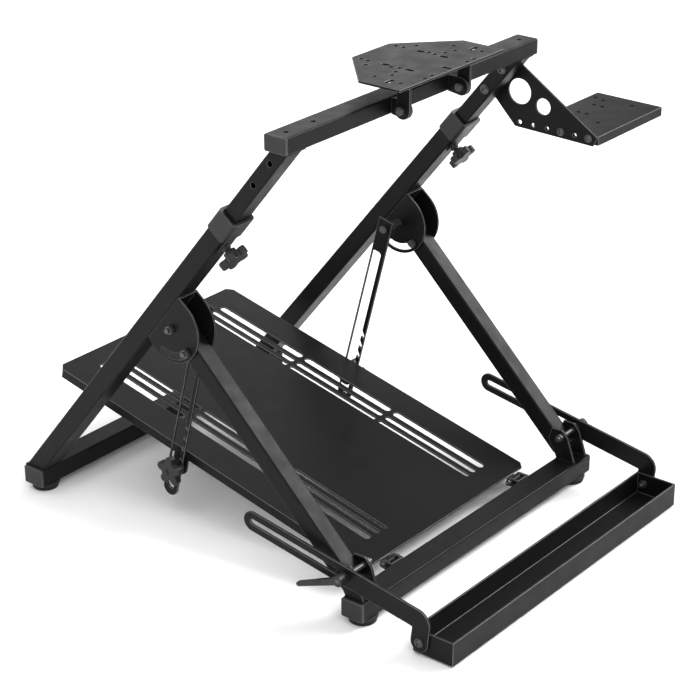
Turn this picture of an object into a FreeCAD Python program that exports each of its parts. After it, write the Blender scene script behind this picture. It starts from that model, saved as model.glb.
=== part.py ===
import FreeCAD, Part
import os
import re
import Sketcher
from FreeCAD import Placement, Rotation, Vector

# Folding stand for a racing wheel, pedals and a gear shifter.
# X points to the user's right, Y away from the user, Z up; the floor is z = 0.

doc = FreeCAD.newDocument("wheel_stand")
sheet = doc.addObject("Spreadsheet::Sheet", "Sizes")

# Driving sizes in millimetres and degrees
SIZES = [
    # floor crossbars
    ("bar_len", 600), ("bar_wide", 40), ("bar_high", 30), ("bar_wall", 2), ("bar_round", 3),
    ("cap_thick", 3), ("base_len", 656),
    ("foot_high", 11), ("foot_wide", 46), ("foot_taper", 2), ("foot_inset", 26),
    # posts and sliding inner tubes
    ("post_inset", 25.5), ("post_wide", 40), ("post_deep", 30), ("post_wall", 2), ("post_lean", 38.83),
    ("post_len", 682), ("mast_rise", 153.7), ("slide_gap", 0.5), ("inner_len", 365.7), ("inner_wall", 2),
    ("side_hole_d", 9), ("side_hole_drop", 75.7), ("side_hole_pitch", 49),
    # collars and their clamp knobs
    ("collar_thick", 3), ("collar_len", 40), ("collar_rise", 5), ("tongue_wide", 22),
    ("knob_drop", 54), ("nut_d", 14), ("nut_len", 4), ("stem_d", 8), ("stem_gap", 0.05),
    ("knob_d", 48), ("knob_thick", 12), ("knob_core_d", 30), ("lobe_d", 14), ("lobe_count", 5), ("hub_d", 20),
    ("hub_len", 7), ("post_stem_len", 10), ("tip_gap", 0.4),
    # folding hinge
    ("hinge_up", 455), ("hinge_out", 36.5), ("cheek_thick", 3), ("cheek_r", 53), ("base_thick", 3), ("pin_d", 8),
    ("pin_gap", 0.05), ("lock_r", 42), ("lock_slot_d", 11), ("lock_gap", 0.5), ("fold_angle", 69),
    ("head_d", 14), ("head_len", 6), ("thread_out", 5),
    # braces
    ("brace_wide", 30), ("brace_deep", 30), ("brace_wall", 2), ("brace_lift", 22),
    ("ear_thick", 4),
    # top crossbar
    ("top_high", 25), ("top_wide", 40), ("top_hole_d", 8), ("top_hole_inset", 23), ("top_hole_pitch", 58),
    # wheel plate
    ("plate_wide", 250), ("plate_thick", 4), ("plate_near", 77), ("plate_far", 72), ("plate_cut_y", 73),
    ("plate_tip", 87), ("plate_lift", 31), ("tilt_out", 22), ("tilt_drop", 14), ("lug_x", 70),
    ("lug_thick", 4), ("lug_gap", 0.3), ("lug_r", 14), ("tilt_d", 8), ("small_d", 7), ("slot_d", 7),
    # shifter bracket and plate
    ("shift_thick", 3), ("shift_drop", 124), ("shift_near", 140), ("big_hole_d", 41), ("mid_hole_d", 26),
    ("row_pitch", 25.4), ("row_count", 6), ("row_hole_d", 6.6), ("row_lift", 11.5), ("row_start", 16.5),
    ("tray_x_len", 186), ("tray_y_len", 121), ("tray_lip", 15), ("tray_sheet", 3), ("shift_rise", 17),
    # pedal plate
    ("deck_wide", 418), ("deck_len", 650), ("deck_thick", 3), ("deck_lip", 16), ("deck_lean", 12.9),
    ("deck_start", 10.4), ("deck_corner", 10), ("deck_axis_out", 16), ("deck_axis_z", 34),
    ("row_in_inset", 101.5), ("row_mid_inset", 83.7), ("row_out_inset", 62), ("slot_in", 6.5),
    ("slot_mid", 9.5), ("slot_out", 13), ("slot_first", 42), ("slot_last", 38), ("slot_bridge", 9),
    ("slot_rows", 3), ("knuckle_inset", 44), ("knuckle_len", 20), ("knuckle_d", 13), ("leaf_thick", 2),
    ("clevis_thick", 4), ("clevis_gap", 0.5), ("clevis_high", 14),
    ("stud_y", 383), ("stud_drop", 33), ("stud_d", 8), ("tab_r", 15), ("stud_shoulder_d", 16),
    # adjusting straps
    ("strap_side", 9.5), ("strap_thick", 4), ("strap_wide", 28), ("strap_shift", 1.5), ("strap_top", 16),
    ("strap_tail", 52.2), ("strap_slot_top", 46), ("strap_slot_r", 5), ("strap_end", 13), ("strap_rail", 2.5),
    ("strap_tooth", 8), ("tooth_rise", 94.8), ("tooth_pitch", 20), ("tooth_count", 6), ("notch_deep", 6),
    ("notch_len", 14), ("hook_rise", 3), ("strap_play", 1), ("strap_knob_gap", 1.5), ("strap_hub_len", 2),
    # castor tray with its sliding arms
    ("arm_clear", 5), ("arm_thick", 4), ("arm_high", 32), ("arm_lean", 9.4), ("arm_far", 193),
    ("clamp_y", 10), ("clamp_lift", 40), ("arm_slot_d", 9), ("arm_slot_len", 176),
    ("drop_y", 139), ("leg_y", 141), ("leg_drop", 35.5), ("arm_end_r", 15), ("arm_bend_r", 24),
    ("castor_near", 180), ("castor_far", 110), ("castor_low", 3), ("castor_high", 38), ("castor_sheet", 3),
    # clamp levers
    ("lever_hub_d", 17), ("lever_hub_len", 18), ("lever_len", 82), ("lever_root", 11), ("lever_tip", 7),
    ("lever_lean", -23), ("lever_gap", 0.4), ("spacer_d", 16), ("spacer_gap", 0.3),
]

# Sizes that follow from the driving ones
DERIVED = [
    ("bar_top", "foot_high + bar_high"),
    ("far_y", "base_len / 2"),
    ("near_y", "-base_len / 2"),
    ("inner_wide", "post_wide - 2 * post_wall - 2 * slide_gap"),
    ("inner_deep", "post_deep - 2 * post_wall - 2 * slide_gap"),
    ("post_x", "bar_len / 2 - post_inset"),
    ("inner_end", "post_len + mast_rise"),
    ("inner_start", "inner_end - inner_len"),
    ("side_hole_low", "inner_end - side_hole_drop"),
    ("top_under", "bar_top + inner_end * cos(post_lean)"),
    ("top_hole_x", "bar_len / 2 - top_hole_inset"),
    ("top_y", "far_y - inner_end * sin(post_lean)"),
    ("pivot_y", "far_y - hinge_up * sin(post_lean) - hinge_out * cos(post_lean)"),
    ("pivot_z", "bar_top + hinge_up * cos(post_lean) - hinge_out * sin(post_lean)"),
    ("brace_reach", "sqrt((pivot_y - near_y) ^ 2 + (pivot_z - bar_top) ^ 2)"),
    ("brace_lean", "atan((pivot_y - near_y) / (pivot_z - bar_top)) / 1 deg"),
    ("brace_turn", "270 - brace_lean - post_lean"),
    ("knob_up", "post_len - knob_drop"),
    ("knuckle_x", "deck_wide / 2 - knuckle_inset"),
    ("row_in", "deck_wide / 2 - row_in_inset"),
    ("row_mid", "deck_wide / 2 - row_mid_inset"),
    ("row_out", "deck_wide / 2 - row_out_inset"),
    ("slot_len", "(deck_len - slot_first - slot_last - (slot_rows - 1) * slot_bridge) / slot_rows"),
    ("strap_x", "deck_wide / 2 + strap_side"),
    ("deck_y", "near_y + bar_wide / 2 + deck_axis_out"),
    ("stud_gy", "deck_y + stud_y * cos(deck_lean) + stud_drop * sin(deck_lean)"),
    ("stud_gz", "deck_axis_z + stud_y * sin(deck_lean) - stud_drop * cos(deck_lean)"),
    ("strap_lean", "atan((stud_gy - pivot_y) / (pivot_z - stud_gz)) / 1 deg"),
    ("strap_reach", "sqrt((stud_gy - pivot_y) ^ 2 + (pivot_z - stud_gz) ^ 2)"),
    ("strap_len", "strap_reach + strap_tail"),
    ("strap_slot_low", "strap_len - strap_end"),
    ("tooth_first", "strap_reach - tooth_rise"),
    ("tilt_y", "top_y - top_wide / 2 - tilt_out"),
    ("tilt_z", "top_under + top_high - tilt_drop"),
    ("plate_under", "tilt_drop + plate_lift"),
    ("clamp_gy", "near_y + clamp_y"),
    ("clamp_gz", "bar_top + clamp_lift"),
    ("shift_x", "post_x + inner_wide / 2"),
    ("shift_low", "top_under - shift_drop"),
    ("shift_top", "shift_low + shift_rise"),
    ("arm_x", "post_x + post_wide / 2 + arm_clear"),
]

ALIASES = [name for name, value in SIZES + DERIVED]
for row, (name, value) in enumerate(SIZES, start=1):
    sheet.set("A%d" % row, name)
    sheet.set("B%d" % row, str(value))
    sheet.setAlias("B%d" % row, name)
for row, (name, formula) in enumerate(DERIVED, start=len(SIZES) + 1):
    sheet.set("A%d" % row, name)
    sheet.set("B%d" % row, "=" + formula)
    sheet.setAlias("B%d" % row, name)
numbers = doc.addObject("Spreadsheet::Sheet", "Numbers")
doc.recompute()

ROOT = -1
H_AXIS = -1
V_AXIS = -2
PIECES = []


def ref(formula):
    """Write a formula of size names so that other objects can read it."""
    text = str(formula)
    return re.sub(r"[A-Za-z_]\w*", lambda m: "Sizes." + m.group(0) if m.group(0) in ALIASES else m.group(0), text)


def val(formula):
    """Number that a formula of size names has now."""
    numbers.set("A1", "=" + ref(formula))
    numbers.recompute()
    number = numbers.get("A1")
    return float(number.Value if hasattr(number, "Value") else number)


def keep(piece, label):
    """Name a finished piece for the library."""
    piece.Label = label
    PIECES.append(piece)
    return piece


def place(piece, x="0", y="0", z="0", lean=None, axis=Vector(1, 0, 0)):
    """Put a piece at a point, turned about one axis."""
    turn = Rotation(axis, 0 if lean is None else val(lean))
    piece.Placement = Placement(Vector(val(x), val(y), val(z)), turn)
    for letter, formula in (("x", x), ("y", y), ("z", z)):
        if str(formula) != "0":
            piece.setExpression("Placement.Base." + letter, ref(formula))
    if lean is not None:
        piece.setExpression("Placement.Rotation.Angle", ref(lean))


def new_body(name):
    return doc.addObject("PartDesign::Body", name)


def new_sketch(body, name, plane, offset=None):
    """Sketch on one of the body's own planes, lifted along the plane's normal."""
    sketch = body.newObject("Sketcher::SketchObject", name)
    support = [part for part in body.Origin.OriginFeatures if part.Role == plane][0]
    sketch.AttachmentSupport = (support, [""])
    sketch.MapMode = "FlatFace"
    if offset is not None:
        sketch.setExpression("AttachmentOffset.Base.z", ref(offset))
    return sketch


def pin_axis(sketch, curve, end, kind, formula):
    """Hold one point of a sketch at a distance from the origin along one axis."""
    if str(formula) == "0":
        axis = V_AXIS if kind == "DistanceX" else H_AXIS
        sketch.addConstraint(Sketcher.Constraint("PointOnObject", curve, end, axis))
        return
    index = sketch.addConstraint(Sketcher.Constraint(kind, ROOT, 1, curve, end, val(formula)))
    sketch.setExpression("Constraints[%d]" % index, ref(formula))


def pin(sketch, curve, end, x, y):
    """Hold one point of a sketch at a place given by formulas."""
    pin_axis(sketch, curve, end, "DistanceX", x)
    pin_axis(sketch, curve, end, "DistanceY", y)


def size(sketch, curve, radius):
    """Hold a radius of a sketch at a formula."""
    index = sketch.addConstraint(Sketcher.Constraint("Radius", curve, val(radius)))
    sketch.setExpression("Constraints[%d]" % index, ref(radius))


def polygon(sketch, points):
    """Closed outline of straight lines."""
    first = sketch.GeometryCount
    count = len(points)
    spots = [Vector(val(x), val(y), 0) for x, y in points]
    for i in range(count):
        sketch.addGeometry(Part.LineSegment(spots[i], spots[(i + 1) % count]))
    for i in range(count):
        sketch.addConstraint(Sketcher.Constraint("Coincident", first + i, 2, first + (i + 1) % count, 1))
    for i, (x, y) in enumerate(points):
        pin(sketch, first + i, 1, x, y)


def circle(sketch, x, y, radius):
    first = sketch.addGeometry(Part.Circle(Vector(val(x), val(y), 0), Vector(0, 0, 1), val(radius)))
    pin(sketch, first, 3, x, y)
    size(sketch, first, radius)


def outline(sketch, steps):
    """Closed outline of lines and arcs.

    Each step is (x, y) for a corner or (x, y, centre x, centre y, turn) for a corner from which an arc
    runs to the next corner, with turn 1 for anticlockwise and -1 for clockwise.
    """
    first = sketch.GeometryCount
    count = len(steps)
    spots = [Vector(val(step[0]), val(step[1]), 0) for step in steps]
    ends = []
    for i, step in enumerate(steps):
        start, stop = spots[i], spots[(i + 1) % count]
        if len(step) == 2:
            sketch.addGeometry(Part.LineSegment(start, stop))
            ends.append((1, 2))
            continue
        centre = Vector(val(step[2]), val(step[3]), 0)
        ring = Part.Circle(centre, Vector(0, 0, 1), (start - centre).Length)
        low, high = (start, stop) if step[4] > 0 else (stop, start)
        sketch.addGeometry(Part.ArcOfCircle(ring, ring.parameter(low), ring.parameter(high)))
        ends.append((1, 2) if step[4] > 0 else (2, 1))
    for i in range(count):
        after = (i + 1) % count
        sketch.addConstraint(Sketcher.Constraint("Coincident", first + i, ends[i][1], first + after, ends[after][0]))
    for i, step in enumerate(steps):
        pin(sketch, first + i, ends[i][0], step[0], step[1])
        if len(step) == 5:
            chord = spots[(i + 1) % count] - spots[i]
            level = abs(chord.x) > abs(chord.y)
            pin_axis(sketch, first + i, 3, "DistanceY" if level else "DistanceX", step[3] if level else step[2])


def slot(sketch, x1, y1, x2, y2, radius):
    """Straight slot between two end centres."""
    a = Vector(val(x1), val(y1), 0)
    b = Vector(val(x2), val(y2), 0)
    r = val(radius)
    along = (b - a).normalize()
    side = Vector(-along.y, along.x, 0) * r
    up = Vector(0, 0, 1)
    first = sketch.GeometryCount
    ring_a = Part.Circle(a, up, r)
    ring_b = Part.Circle(b, up, r)
    sketch.addGeometry(Part.LineSegment(a - side, b - side))
    sketch.addGeometry(Part.ArcOfCircle(ring_b, ring_b.parameter(b - side), ring_b.parameter(b + side)))
    sketch.addGeometry(Part.LineSegment(b + side, a + side))
    sketch.addGeometry(Part.ArcOfCircle(ring_a, ring_a.parameter(a + side), ring_a.parameter(a - side)))
    for i in range(4):
        sketch.addConstraint(Sketcher.Constraint("Tangent", first + i, 2, first + (i + 1) % 4, 1))
    pin(sketch, first + 1, 3, x2, y2)
    pin(sketch, first + 3, 3, x1, y1)
    size(sketch, first + 1, radius)


def pad(body, sketch, length, symmetric=False, flip=False):
    feature = body.newObject("PartDesign::Pad", sketch.Name + "_pad")
    feature.Profile = sketch
    feature.setExpression("Length", ref(length))
    if symmetric:
        feature.SideType = "Symmetric"
    feature.Reversed = flip
    body.Tip = feature
    return feature


def pocket(body, sketch, length, symmetric=False, flip=False):
    """Cut, which has to take material away."""
    doc.recompute()
    before = body.Shape.Volume
    feature = body.newObject("PartDesign::Pocket", sketch.Name + "_cut")
    feature.Profile = sketch
    feature.setExpression("Length", ref(length))
    if symmetric:
        feature.SideType = "Symmetric"
    feature.Reversed = flip
    body.Tip = feature
    doc.recompute()
    if body.Shape.Volume >= before:
        raise ValueError("nothing was cut by " + feature.Name)
    return feature


def round_box(sketch, wide, deep, radius):
    """Rectangle with rounded corners about the sketch's origin."""
    w, d, r = "(%s) / 2" % wide, "(%s) / 2" % deep, "(%s)" % radius
    steps = []
    for sx, sy in ((1, -1), (1, 1), (-1, 1), (-1, -1)):
        cx, cy = "%d * (%s - %s)" % (sx, w, r), "%d * (%s - %s)" % (sy, d, r)
        flat, upright = (cx, "%d * %s" % (sy, d)), ("%d * %s" % (sx, w), cy)
        start, stop = (flat, upright) if sx * sy < 0 else (upright, flat)
        steps.append((start[0], start[1], cx, cy, 1))
        steps.append(stop)
    outline(sketch, steps)


def tube(name, wide, deep, wall, radius, start, length):
    """Hollow tube along the body's own Z."""
    body = new_body(name)
    section = new_sketch(body, name + "_section", "XY_Plane", start)
    round_box(section, wide, deep, radius)
    round_box(section, "%s - 2 * %s" % (wide, wall), "%s - 2 * %s" % (deep, wall), "%s / 2" % radius)
    pad(body, section, length)
    return body


def mirror(piece, name):
    """Copy of a piece on the other side of the stand's middle plane."""
    copy = doc.addObject("Part::Mirroring", name)
    copy.Source = piece
    copy.Normal = Vector(1, 0, 0)
    return copy


def pair(piece, label):
    """Two like pieces, one on each side, kept together."""
    group = doc.addObject("Part::Compound", label)
    group.Links = [piece, mirror(piece, label + "_other")]
    return keep(group, label)


def both_sides(piece, label):
    """A left piece and its mirror image on the right, kept apart."""
    keep(piece, label + "_left")
    keep(mirror(piece, label + "_right"), label + "_right")


# Crossbars
def crossbar(label, y, z, wide, high):
    body = tube(label, high, wide, "bar_wall", "bar_round", "-bar_len / 2 + cap_thick", "bar_len - 2 * cap_thick")
    place(body, "0", y, z, "90", Vector(0, 1, 0))
    return keep(body, label)


def end_caps(label, y, z, wide, high):
    cap = new_body(label + "_cap")
    face = new_sketch(cap, label + "_face", "YZ_Plane")
    round_box(face, wide, high, "bar_round")
    pad(cap, face, "cap_thick")
    place(cap, "-bar_len / 2", y, z)
    return pair(cap, label)


def feet(label, y):
    foot = doc.addObject("Part::Cone", label + "_foot")
    foot.setExpression("Radius1", ref("foot_wide / 2 - foot_taper"))
    foot.setExpression("Radius2", ref("foot_wide / 2"))
    foot.setExpression("Height", ref("foot_high"))
    place(foot, "-bar_len / 2 + foot_inset", y, "0")
    return pair(foot, label)


for end in ("far", "near"):
    crossbar(end + "_crossbar", end + "_y", "bar_top - bar_high / 2", "bar_wide", "bar_high")
    end_caps(end + "_end_caps", end + "_y", "bar_top - bar_high / 2", "bar_wide", "bar_high")
    feet(end + "_feet", end + "_y")


# Posts: outer tubes that stand on the far crossbar and lean towards the user
def post():
    body = tube("post", "post_wide", "post_deep", "post_wall", "bar_round",
                "-post_deep * tan(post_lean)", "post_len + post_deep * tan(post_lean)")
    trim = new_sketch(body, "post_trim", "YZ_Plane")
    polygon(trim, [
        ("post_deep", "-post_deep * tan(post_lean)"), ("-post_deep", "post_deep * tan(post_lean)"),
        ("-post_deep", "-3 * post_deep"), ("post_deep", "-3 * post_deep")])
    pocket(body, trim, "2 * post_wide", symmetric=True)
    hole = new_sketch(body, "post_stem_hole", "XZ_Plane")
    circle(hole, "0", "knob_up", "stem_d / 2 + lock_gap")
    pocket(body, hole, "post_deep", flip=True)
    place(body, "-post_x", "far_y", "bar_top", "post_lean")
    both_sides(body, "post")


# Sliding inner tubes, cut level under the top crossbar
def inner_tube():
    body = tube("inner_tube", "inner_wide", "inner_deep", "inner_wall", "bar_round",
                "inner_start", "inner_end - inner_start + inner_deep * tan(post_lean)")
    trim = new_sketch(body, "inner_trim", "YZ_Plane")
    polygon(trim, [
        ("inner_deep", "inner_end - inner_deep * tan(post_lean)"),
        ("inner_deep", "inner_end + 3 * inner_deep"), ("-inner_deep", "inner_end + 3 * inner_deep"),
        ("-inner_deep", "inner_end + inner_deep * tan(post_lean)")])
    pocket(body, trim, "2 * inner_wide", symmetric=True)
    holes = new_sketch(body, "inner_side_holes", "YZ_Plane")
    for step in range(2):
        circle(holes, "0", "side_hole_low + %d * side_hole_pitch" % step, "side_hole_d / 2")
    pocket(body, holes, "2 * inner_wide", symmetric=True)
    place(body, "-post_x", "far_y", "bar_top", "post_lean")
    both_sides(body, "inner_tube")


# Collars with a tongue and a welded nut for the clamp knob
def collar():
    body = new_body("collar")
    ring = new_sketch(body, "collar_ring", "XY_Plane", "post_len + collar_rise - collar_len")
    round_box(ring, "post_wide + 2 * collar_thick", "post_deep + 2 * collar_thick", "bar_round + collar_thick")
    pad(body, ring, "collar_len")
    tongue = new_sketch(body, "collar_tongue", "XZ_Plane", "post_deep / 2")
    polygon(tongue, [
        ("-tongue_wide / 2", "knob_up - nut_d / 2 - 1"), ("tongue_wide / 2", "knob_up - nut_d / 2 - 1"),
        ("tongue_wide / 2", "post_len - collar_len / 2"), ("-tongue_wide / 2", "post_len - collar_len / 2")])
    pad(body, tongue, "collar_thick")
    nut = new_sketch(body, "collar_nut", "XZ_Plane", "post_deep / 2")
    circle(nut, "0", "knob_up", "nut_d / 2")
    pad(body, nut, "collar_thick + nut_len")
    bore = new_sketch(body, "collar_bore", "XY_Plane", "post_len")
    round_box(bore, "post_wide", "post_deep", "bar_round")
    pocket(body, bore, "post_len")
    mouth = new_sketch(body, "collar_mouth", "XY_Plane", "post_len + collar_rise")
    round_box(mouth, "inner_wide + 2 * slide_gap", "inner_deep + 2 * slide_gap", "bar_round")
    pocket(body, mouth, "2 * collar_rise")
    stem = new_sketch(body, "collar_stem_hole", "XZ_Plane")
    circle(stem, "0", "knob_up", "stem_d / 2 + stem_gap")
    pocket(body, stem, "2 * post_deep", flip=True)
    place(body, "-post_x", "far_y", "bar_top", "post_lean")
    both_sides(body, "collar")


# Star knob along its own Z, its flat face at z = 0 and the stem below
def star_knob(name, stem_len, hub_len, bore=None):
    body = new_body(name)
    core = new_sketch(body, name + "_core", "XY_Plane")
    circle(core, "0", "0", "knob_core_d / 2")
    pad(body, core, "knob_thick")
    lobe = new_sketch(body, name + "_lobe", "XY_Plane")
    slot(lobe, "0", "0", "knob_d / 2 - lobe_d / 2", "0", "lobe_d / 2")
    grip = pad(body, lobe, "knob_thick")
    doc.recompute()
    around = body.newObject("PartDesign::PolarPattern", name + "_lobes")
    around.Originals = [grip]
    axis = [part for part in body.Origin.OriginFeatures if part.Role == "Z_Axis"][0]
    around.Axis = (axis, [""])
    around.Angle = 360
    around.setExpression("Occurrences", ref("lobe_count"))
    body.Tip = around
    hub = new_sketch(body, name + "_hub", "XY_Plane")
    circle(hub, "0", "0", "hub_d / 2")
    pad(body, hub, hub_len, flip=True)
    if bore is None:
        stem = new_sketch(body, name + "_stem", "XY_Plane")
        circle(stem, "0", "0", "stem_d / 2")
        pad(body, stem, stem_len, flip=True)
    else:
        hole = new_sketch(body, name + "_hole", "XY_Plane")
        circle(hole, "0", "0", bore)
        pocket(body, hole, "4 * knob_thick", symmetric=True)
    return body


def post_knob():
    # the stem runs through nut, tongue and post wall and ends just short of the inner tube
    reach = "post_deep / 2 + collar_thick + nut_len + post_stem_len"
    knob = star_knob("post_knob", "%s - inner_deep / 2 - tip_gap" % reach, "hub_len")
    place(knob, "-post_x",
          "far_y - knob_up * sin(post_lean) - (%s) * cos(post_lean)" % reach,
          "bar_top + knob_up * cos(post_lean) - (%s) * sin(post_lean)" % reach,
          "post_lean + 90")
    both_sides(knob, "post_knob")


# Folding hinge housing: a channel on the post's near face, with a slot about the pivot for the lock bolt
def hinge():
    body = new_body("hinge")
    near_face = "hinge_out - post_deep / 2"
    low_end = "-sqrt(cheek_r ^ 2 - (%s) ^ 2)" % near_face
    side = new_sketch(body, "hinge_side", "YZ_Plane")
    outline(side, [
        (near_face, "cheek_r"), ("0", "cheek_r", "0", "0", 1), (near_face, low_end)])
    pad(body, side, "post_wide", symmetric=True)
    inside = new_sketch(body, "hinge_inside", "YZ_Plane")
    base = "%s - base_thick" % near_face
    polygon(inside, [
        (base, "-2 * cheek_r"), (base, "2 * cheek_r"), ("-2 * cheek_r", "2 * cheek_r"),
        ("-2 * cheek_r", "-2 * cheek_r")])
    pocket(body, inside, "post_wide - 2 * cheek_thick", symmetric=True)
    pivot = new_sketch(body, "hinge_pivot", "YZ_Plane")
    circle(pivot, "0", "0", "pin_d / 2")
    pocket(body, pivot, "2 * post_wide", symmetric=True)
    lock = new_sketch(body, "hinge_lock_slot", "YZ_Plane")
    arc_slot(lock, "lock_r", "lock_slot_d / 2", "brace_turn", "brace_turn + fold_angle")
    pocket(body, lock, "2 * post_wide", symmetric=True)
    place(body, "-post_x", "pivot_y", "pivot_z", "post_lean")
    both_sides(body, "hinge")


def arc_slot(sketch, radius, half, start, stop):
    """Curved slot about the sketch's origin between two angles."""
    inner, outer = "(%s - (%s))" % (radius, half), "(%s + (%s))" % (radius, half)

    def spot(r, angle):
        return "%s * cos(%s)" % (r, angle), "%s * sin(%s)" % (r, angle)

    a, b = spot(outer, start), spot(outer, stop)
    c, d = spot(inner, stop), spot(inner, start)
    low, high = spot(radius, start), spot(radius, stop)
    outline(sketch, [
        (a[0], a[1], "0", "0", 1), (b[0], b[1], high[0], high[1], 1),
        (c[0], c[1], "0", "0", -1), (d[0], d[1], low[0], low[1], 1)])


# Round rod along X between two distances from the middle plane
def cross_rod(name, inner_x, outer_x, y, z, wide):
    rod = doc.addObject("Part::Cylinder", name)
    rod.setExpression("Radius", ref("%s / 2" % wide))
    rod.setExpression("Height", ref("%s - (%s)" % (outer_x, inner_x)))
    place(rod, "-(%s)" % outer_x, y, z, "90", Vector(0, 1, 0))
    return rod


# Hexagon nut or bolt head along X, its size taken over the corners
def hex_nut(name, inner_x, y, z, length="head_len"):
    nut = doc.addObject("Part::Prism", name)
    nut.Polygon = 6
    nut.setExpression("Circumradius", ref("head_d / 2"))
    nut.setExpression("Height", ref(length))
    place(nut, "-(%s) - (%s)" % (inner_x, length), y, z, "90", Vector(0, 1, 0))
    return nut


def fuse(name, parts):
    whole = doc.addObject("Part::MultiFuse", name)
    whole.Shapes = parts
    return whole


def pivot_bolts():
    outer = "post_x + post_wide / 2"
    inner = "strap_x - strap_thick / 2 - head_len"
    where = ("pivot_y", "pivot_z")
    rod = cross_rod("pivot_rod", inner, "%s + head_len + thread_out" % outer, *where, "pin_d")
    nut = hex_nut("pivot_nut", outer, *where)
    # a sleeve keeps the strap off the hinge
    sleeve = cross_rod("pivot_sleeve", "strap_x + strap_thick / 2 + strap_play", "post_x - post_wide / 2", *where,
                       "head_d")
    head = hex_nut("pivot_head", inner, *where, "head_len - strap_play")
    pair(fuse("pivot_whole", [rod, nut, sleeve, head]), "pivot_bolts")


def lock_bolts():
    inner = "post_x - post_wide / 2 - lock_gap - head_len"
    outer = "post_x + post_wide / 2 + lock_gap"
    where = ("pivot_y - lock_r * sin(brace_lean)", "pivot_z - lock_r * cos(brace_lean)")
    rod = cross_rod("lock_rod", inner, "%s + head_len + thread_out" % outer, *where, "pin_d")
    nut = hex_nut("lock_nut", outer, *where)
    head = hex_nut("lock_head", inner, *where)
    pair(fuse("lock_whole", [rod, nut, head]), "lock_bolts")


# Braces between the near crossbar and the hinges, rounded about the pivot
def brace():
    body = tube("brace", "brace_wide", "brace_deep", "brace_wall", "bar_round",
                "brace_lift", "brace_reach + brace_deep / 2 - brace_lift")
    tip = new_sketch(body, "brace_tip", "YZ_Plane")
    outline(tip, [
        ("brace_deep / 2", "brace_reach", "0", "brace_reach", 1), ("-brace_deep / 2", "brace_reach"),
        ("-brace_deep", "brace_reach"), ("-brace_deep", "brace_reach + brace_deep"),
        ("brace_deep", "brace_reach + brace_deep"), ("brace_deep", "brace_reach")])
    pocket(body, tip, "2 * brace_wide", symmetric=True)
    bores = new_sketch(body, "brace_bores", "YZ_Plane")
    circle(bores, "0", "brace_reach", "pin_d / 2 + pin_gap")
    pocket(body, bores, "2 * brace_wide", symmetric=True)
    lock = new_sketch(body, "brace_lock_bore", "YZ_Plane")
    circle(lock, "0", "brace_reach - lock_r", "pin_d / 2")
    pocket(body, lock, "2 * brace_wide", symmetric=True)
    place(body, "-post_x", "near_y", "bar_top", "-brace_lean")
    both_sides(body, "brace")


# Ears on the near crossbar, one each side of either brace
def brace_brackets():
    ears = []
    for name, x in (("ear_outer", "post_x + brace_wide / 2 + ear_thick"), ("ear_inner", "post_x - brace_wide / 2")):
        ear = new_body(name)
        side = new_sketch(ear, name + "_side", "YZ_Plane")
        polygon(side, [
            ("-bar_wide / 2 + bar_round", "0"), ("bar_wide / 2 - bar_round", "0"), ("clamp_y + 24", "clamp_lift - 8"),
            ("clamp_y + 18", "clamp_lift + 12"), ("clamp_y - 2", "clamp_lift + 12"),
            ("clamp_y - 13", "clamp_lift")])
        pad(ear, side, "ear_thick")
        bore = new_sketch(ear, name + "_bore", "YZ_Plane")
        circle(bore, "clamp_y", "clamp_lift", "pin_d / 2 + pin_gap")
        pocket(ear, bore, "4 * ear_thick", symmetric=True)
        place(ear, "-(%s)" % x, "near_y", "bar_top")
        ears += [ear, mirror(ear, name + "_other")]
    group = doc.addObject("Part::Compound", "brace_brackets")
    group.Links = ears
    keep(group, "brace_brackets")


# Clevises on the near crossbar's far face, with the pins of the pedal plate's hinge
def pedal_clevises():
    body = new_body("clevis")
    span = "knuckle_len + 2 * clevis_gap + 2 * clevis_thick"
    side = new_sketch(body, "clevis_side", "YZ_Plane")
    outline(side, [
        ("-deck_axis_out", "-clevis_high / 2"), ("0", "-clevis_high / 2", "0", "0", 1),
        ("0", "clevis_high / 2"), ("-deck_axis_out", "clevis_high / 2")])
    pad(body, side, span, symmetric=True)
    inside = new_sketch(body, "clevis_inside", "YZ_Plane")
    polygon(inside, [
        ("-deck_axis_out + clevis_thick", "-clevis_high"), ("clevis_high", "-clevis_high"),
        ("clevis_high", "clevis_high"), ("-deck_axis_out + clevis_thick", "clevis_high")])
    pocket(body, inside, "knuckle_len + 2 * clevis_gap", symmetric=True)
    pin_rod = new_sketch(body, "clevis_pin", "YZ_Plane")
    circle(pin_rod, "0", "0", "pin_d / 2")
    pad(body, pin_rod, span, symmetric=True)
    place(body, "-knuckle_x", "deck_y", "deck_axis_z")
    pair(body, "pedal_clevises")


# Top crossbar with its holes, end caps and the brackets of the wheel plate
def top_crossbar():
    body = crossbar("top_crossbar", "top_y", "top_under + top_high / 2", "top_wide", "top_high")
    holes = new_sketch(body, "top_holes", "YZ_Plane")
    for side in (-1, 1):
        for step in range(2):
            circle(holes, "0", "%d * (top_hole_x - %d * top_hole_pitch)" % (side, step), "top_hole_d / 2")
    pocket(body, holes, "top_high", flip=False)
    end_caps("top_end_caps", "top_y", "top_under + top_high / 2", "top_wide", "top_high")


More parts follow.
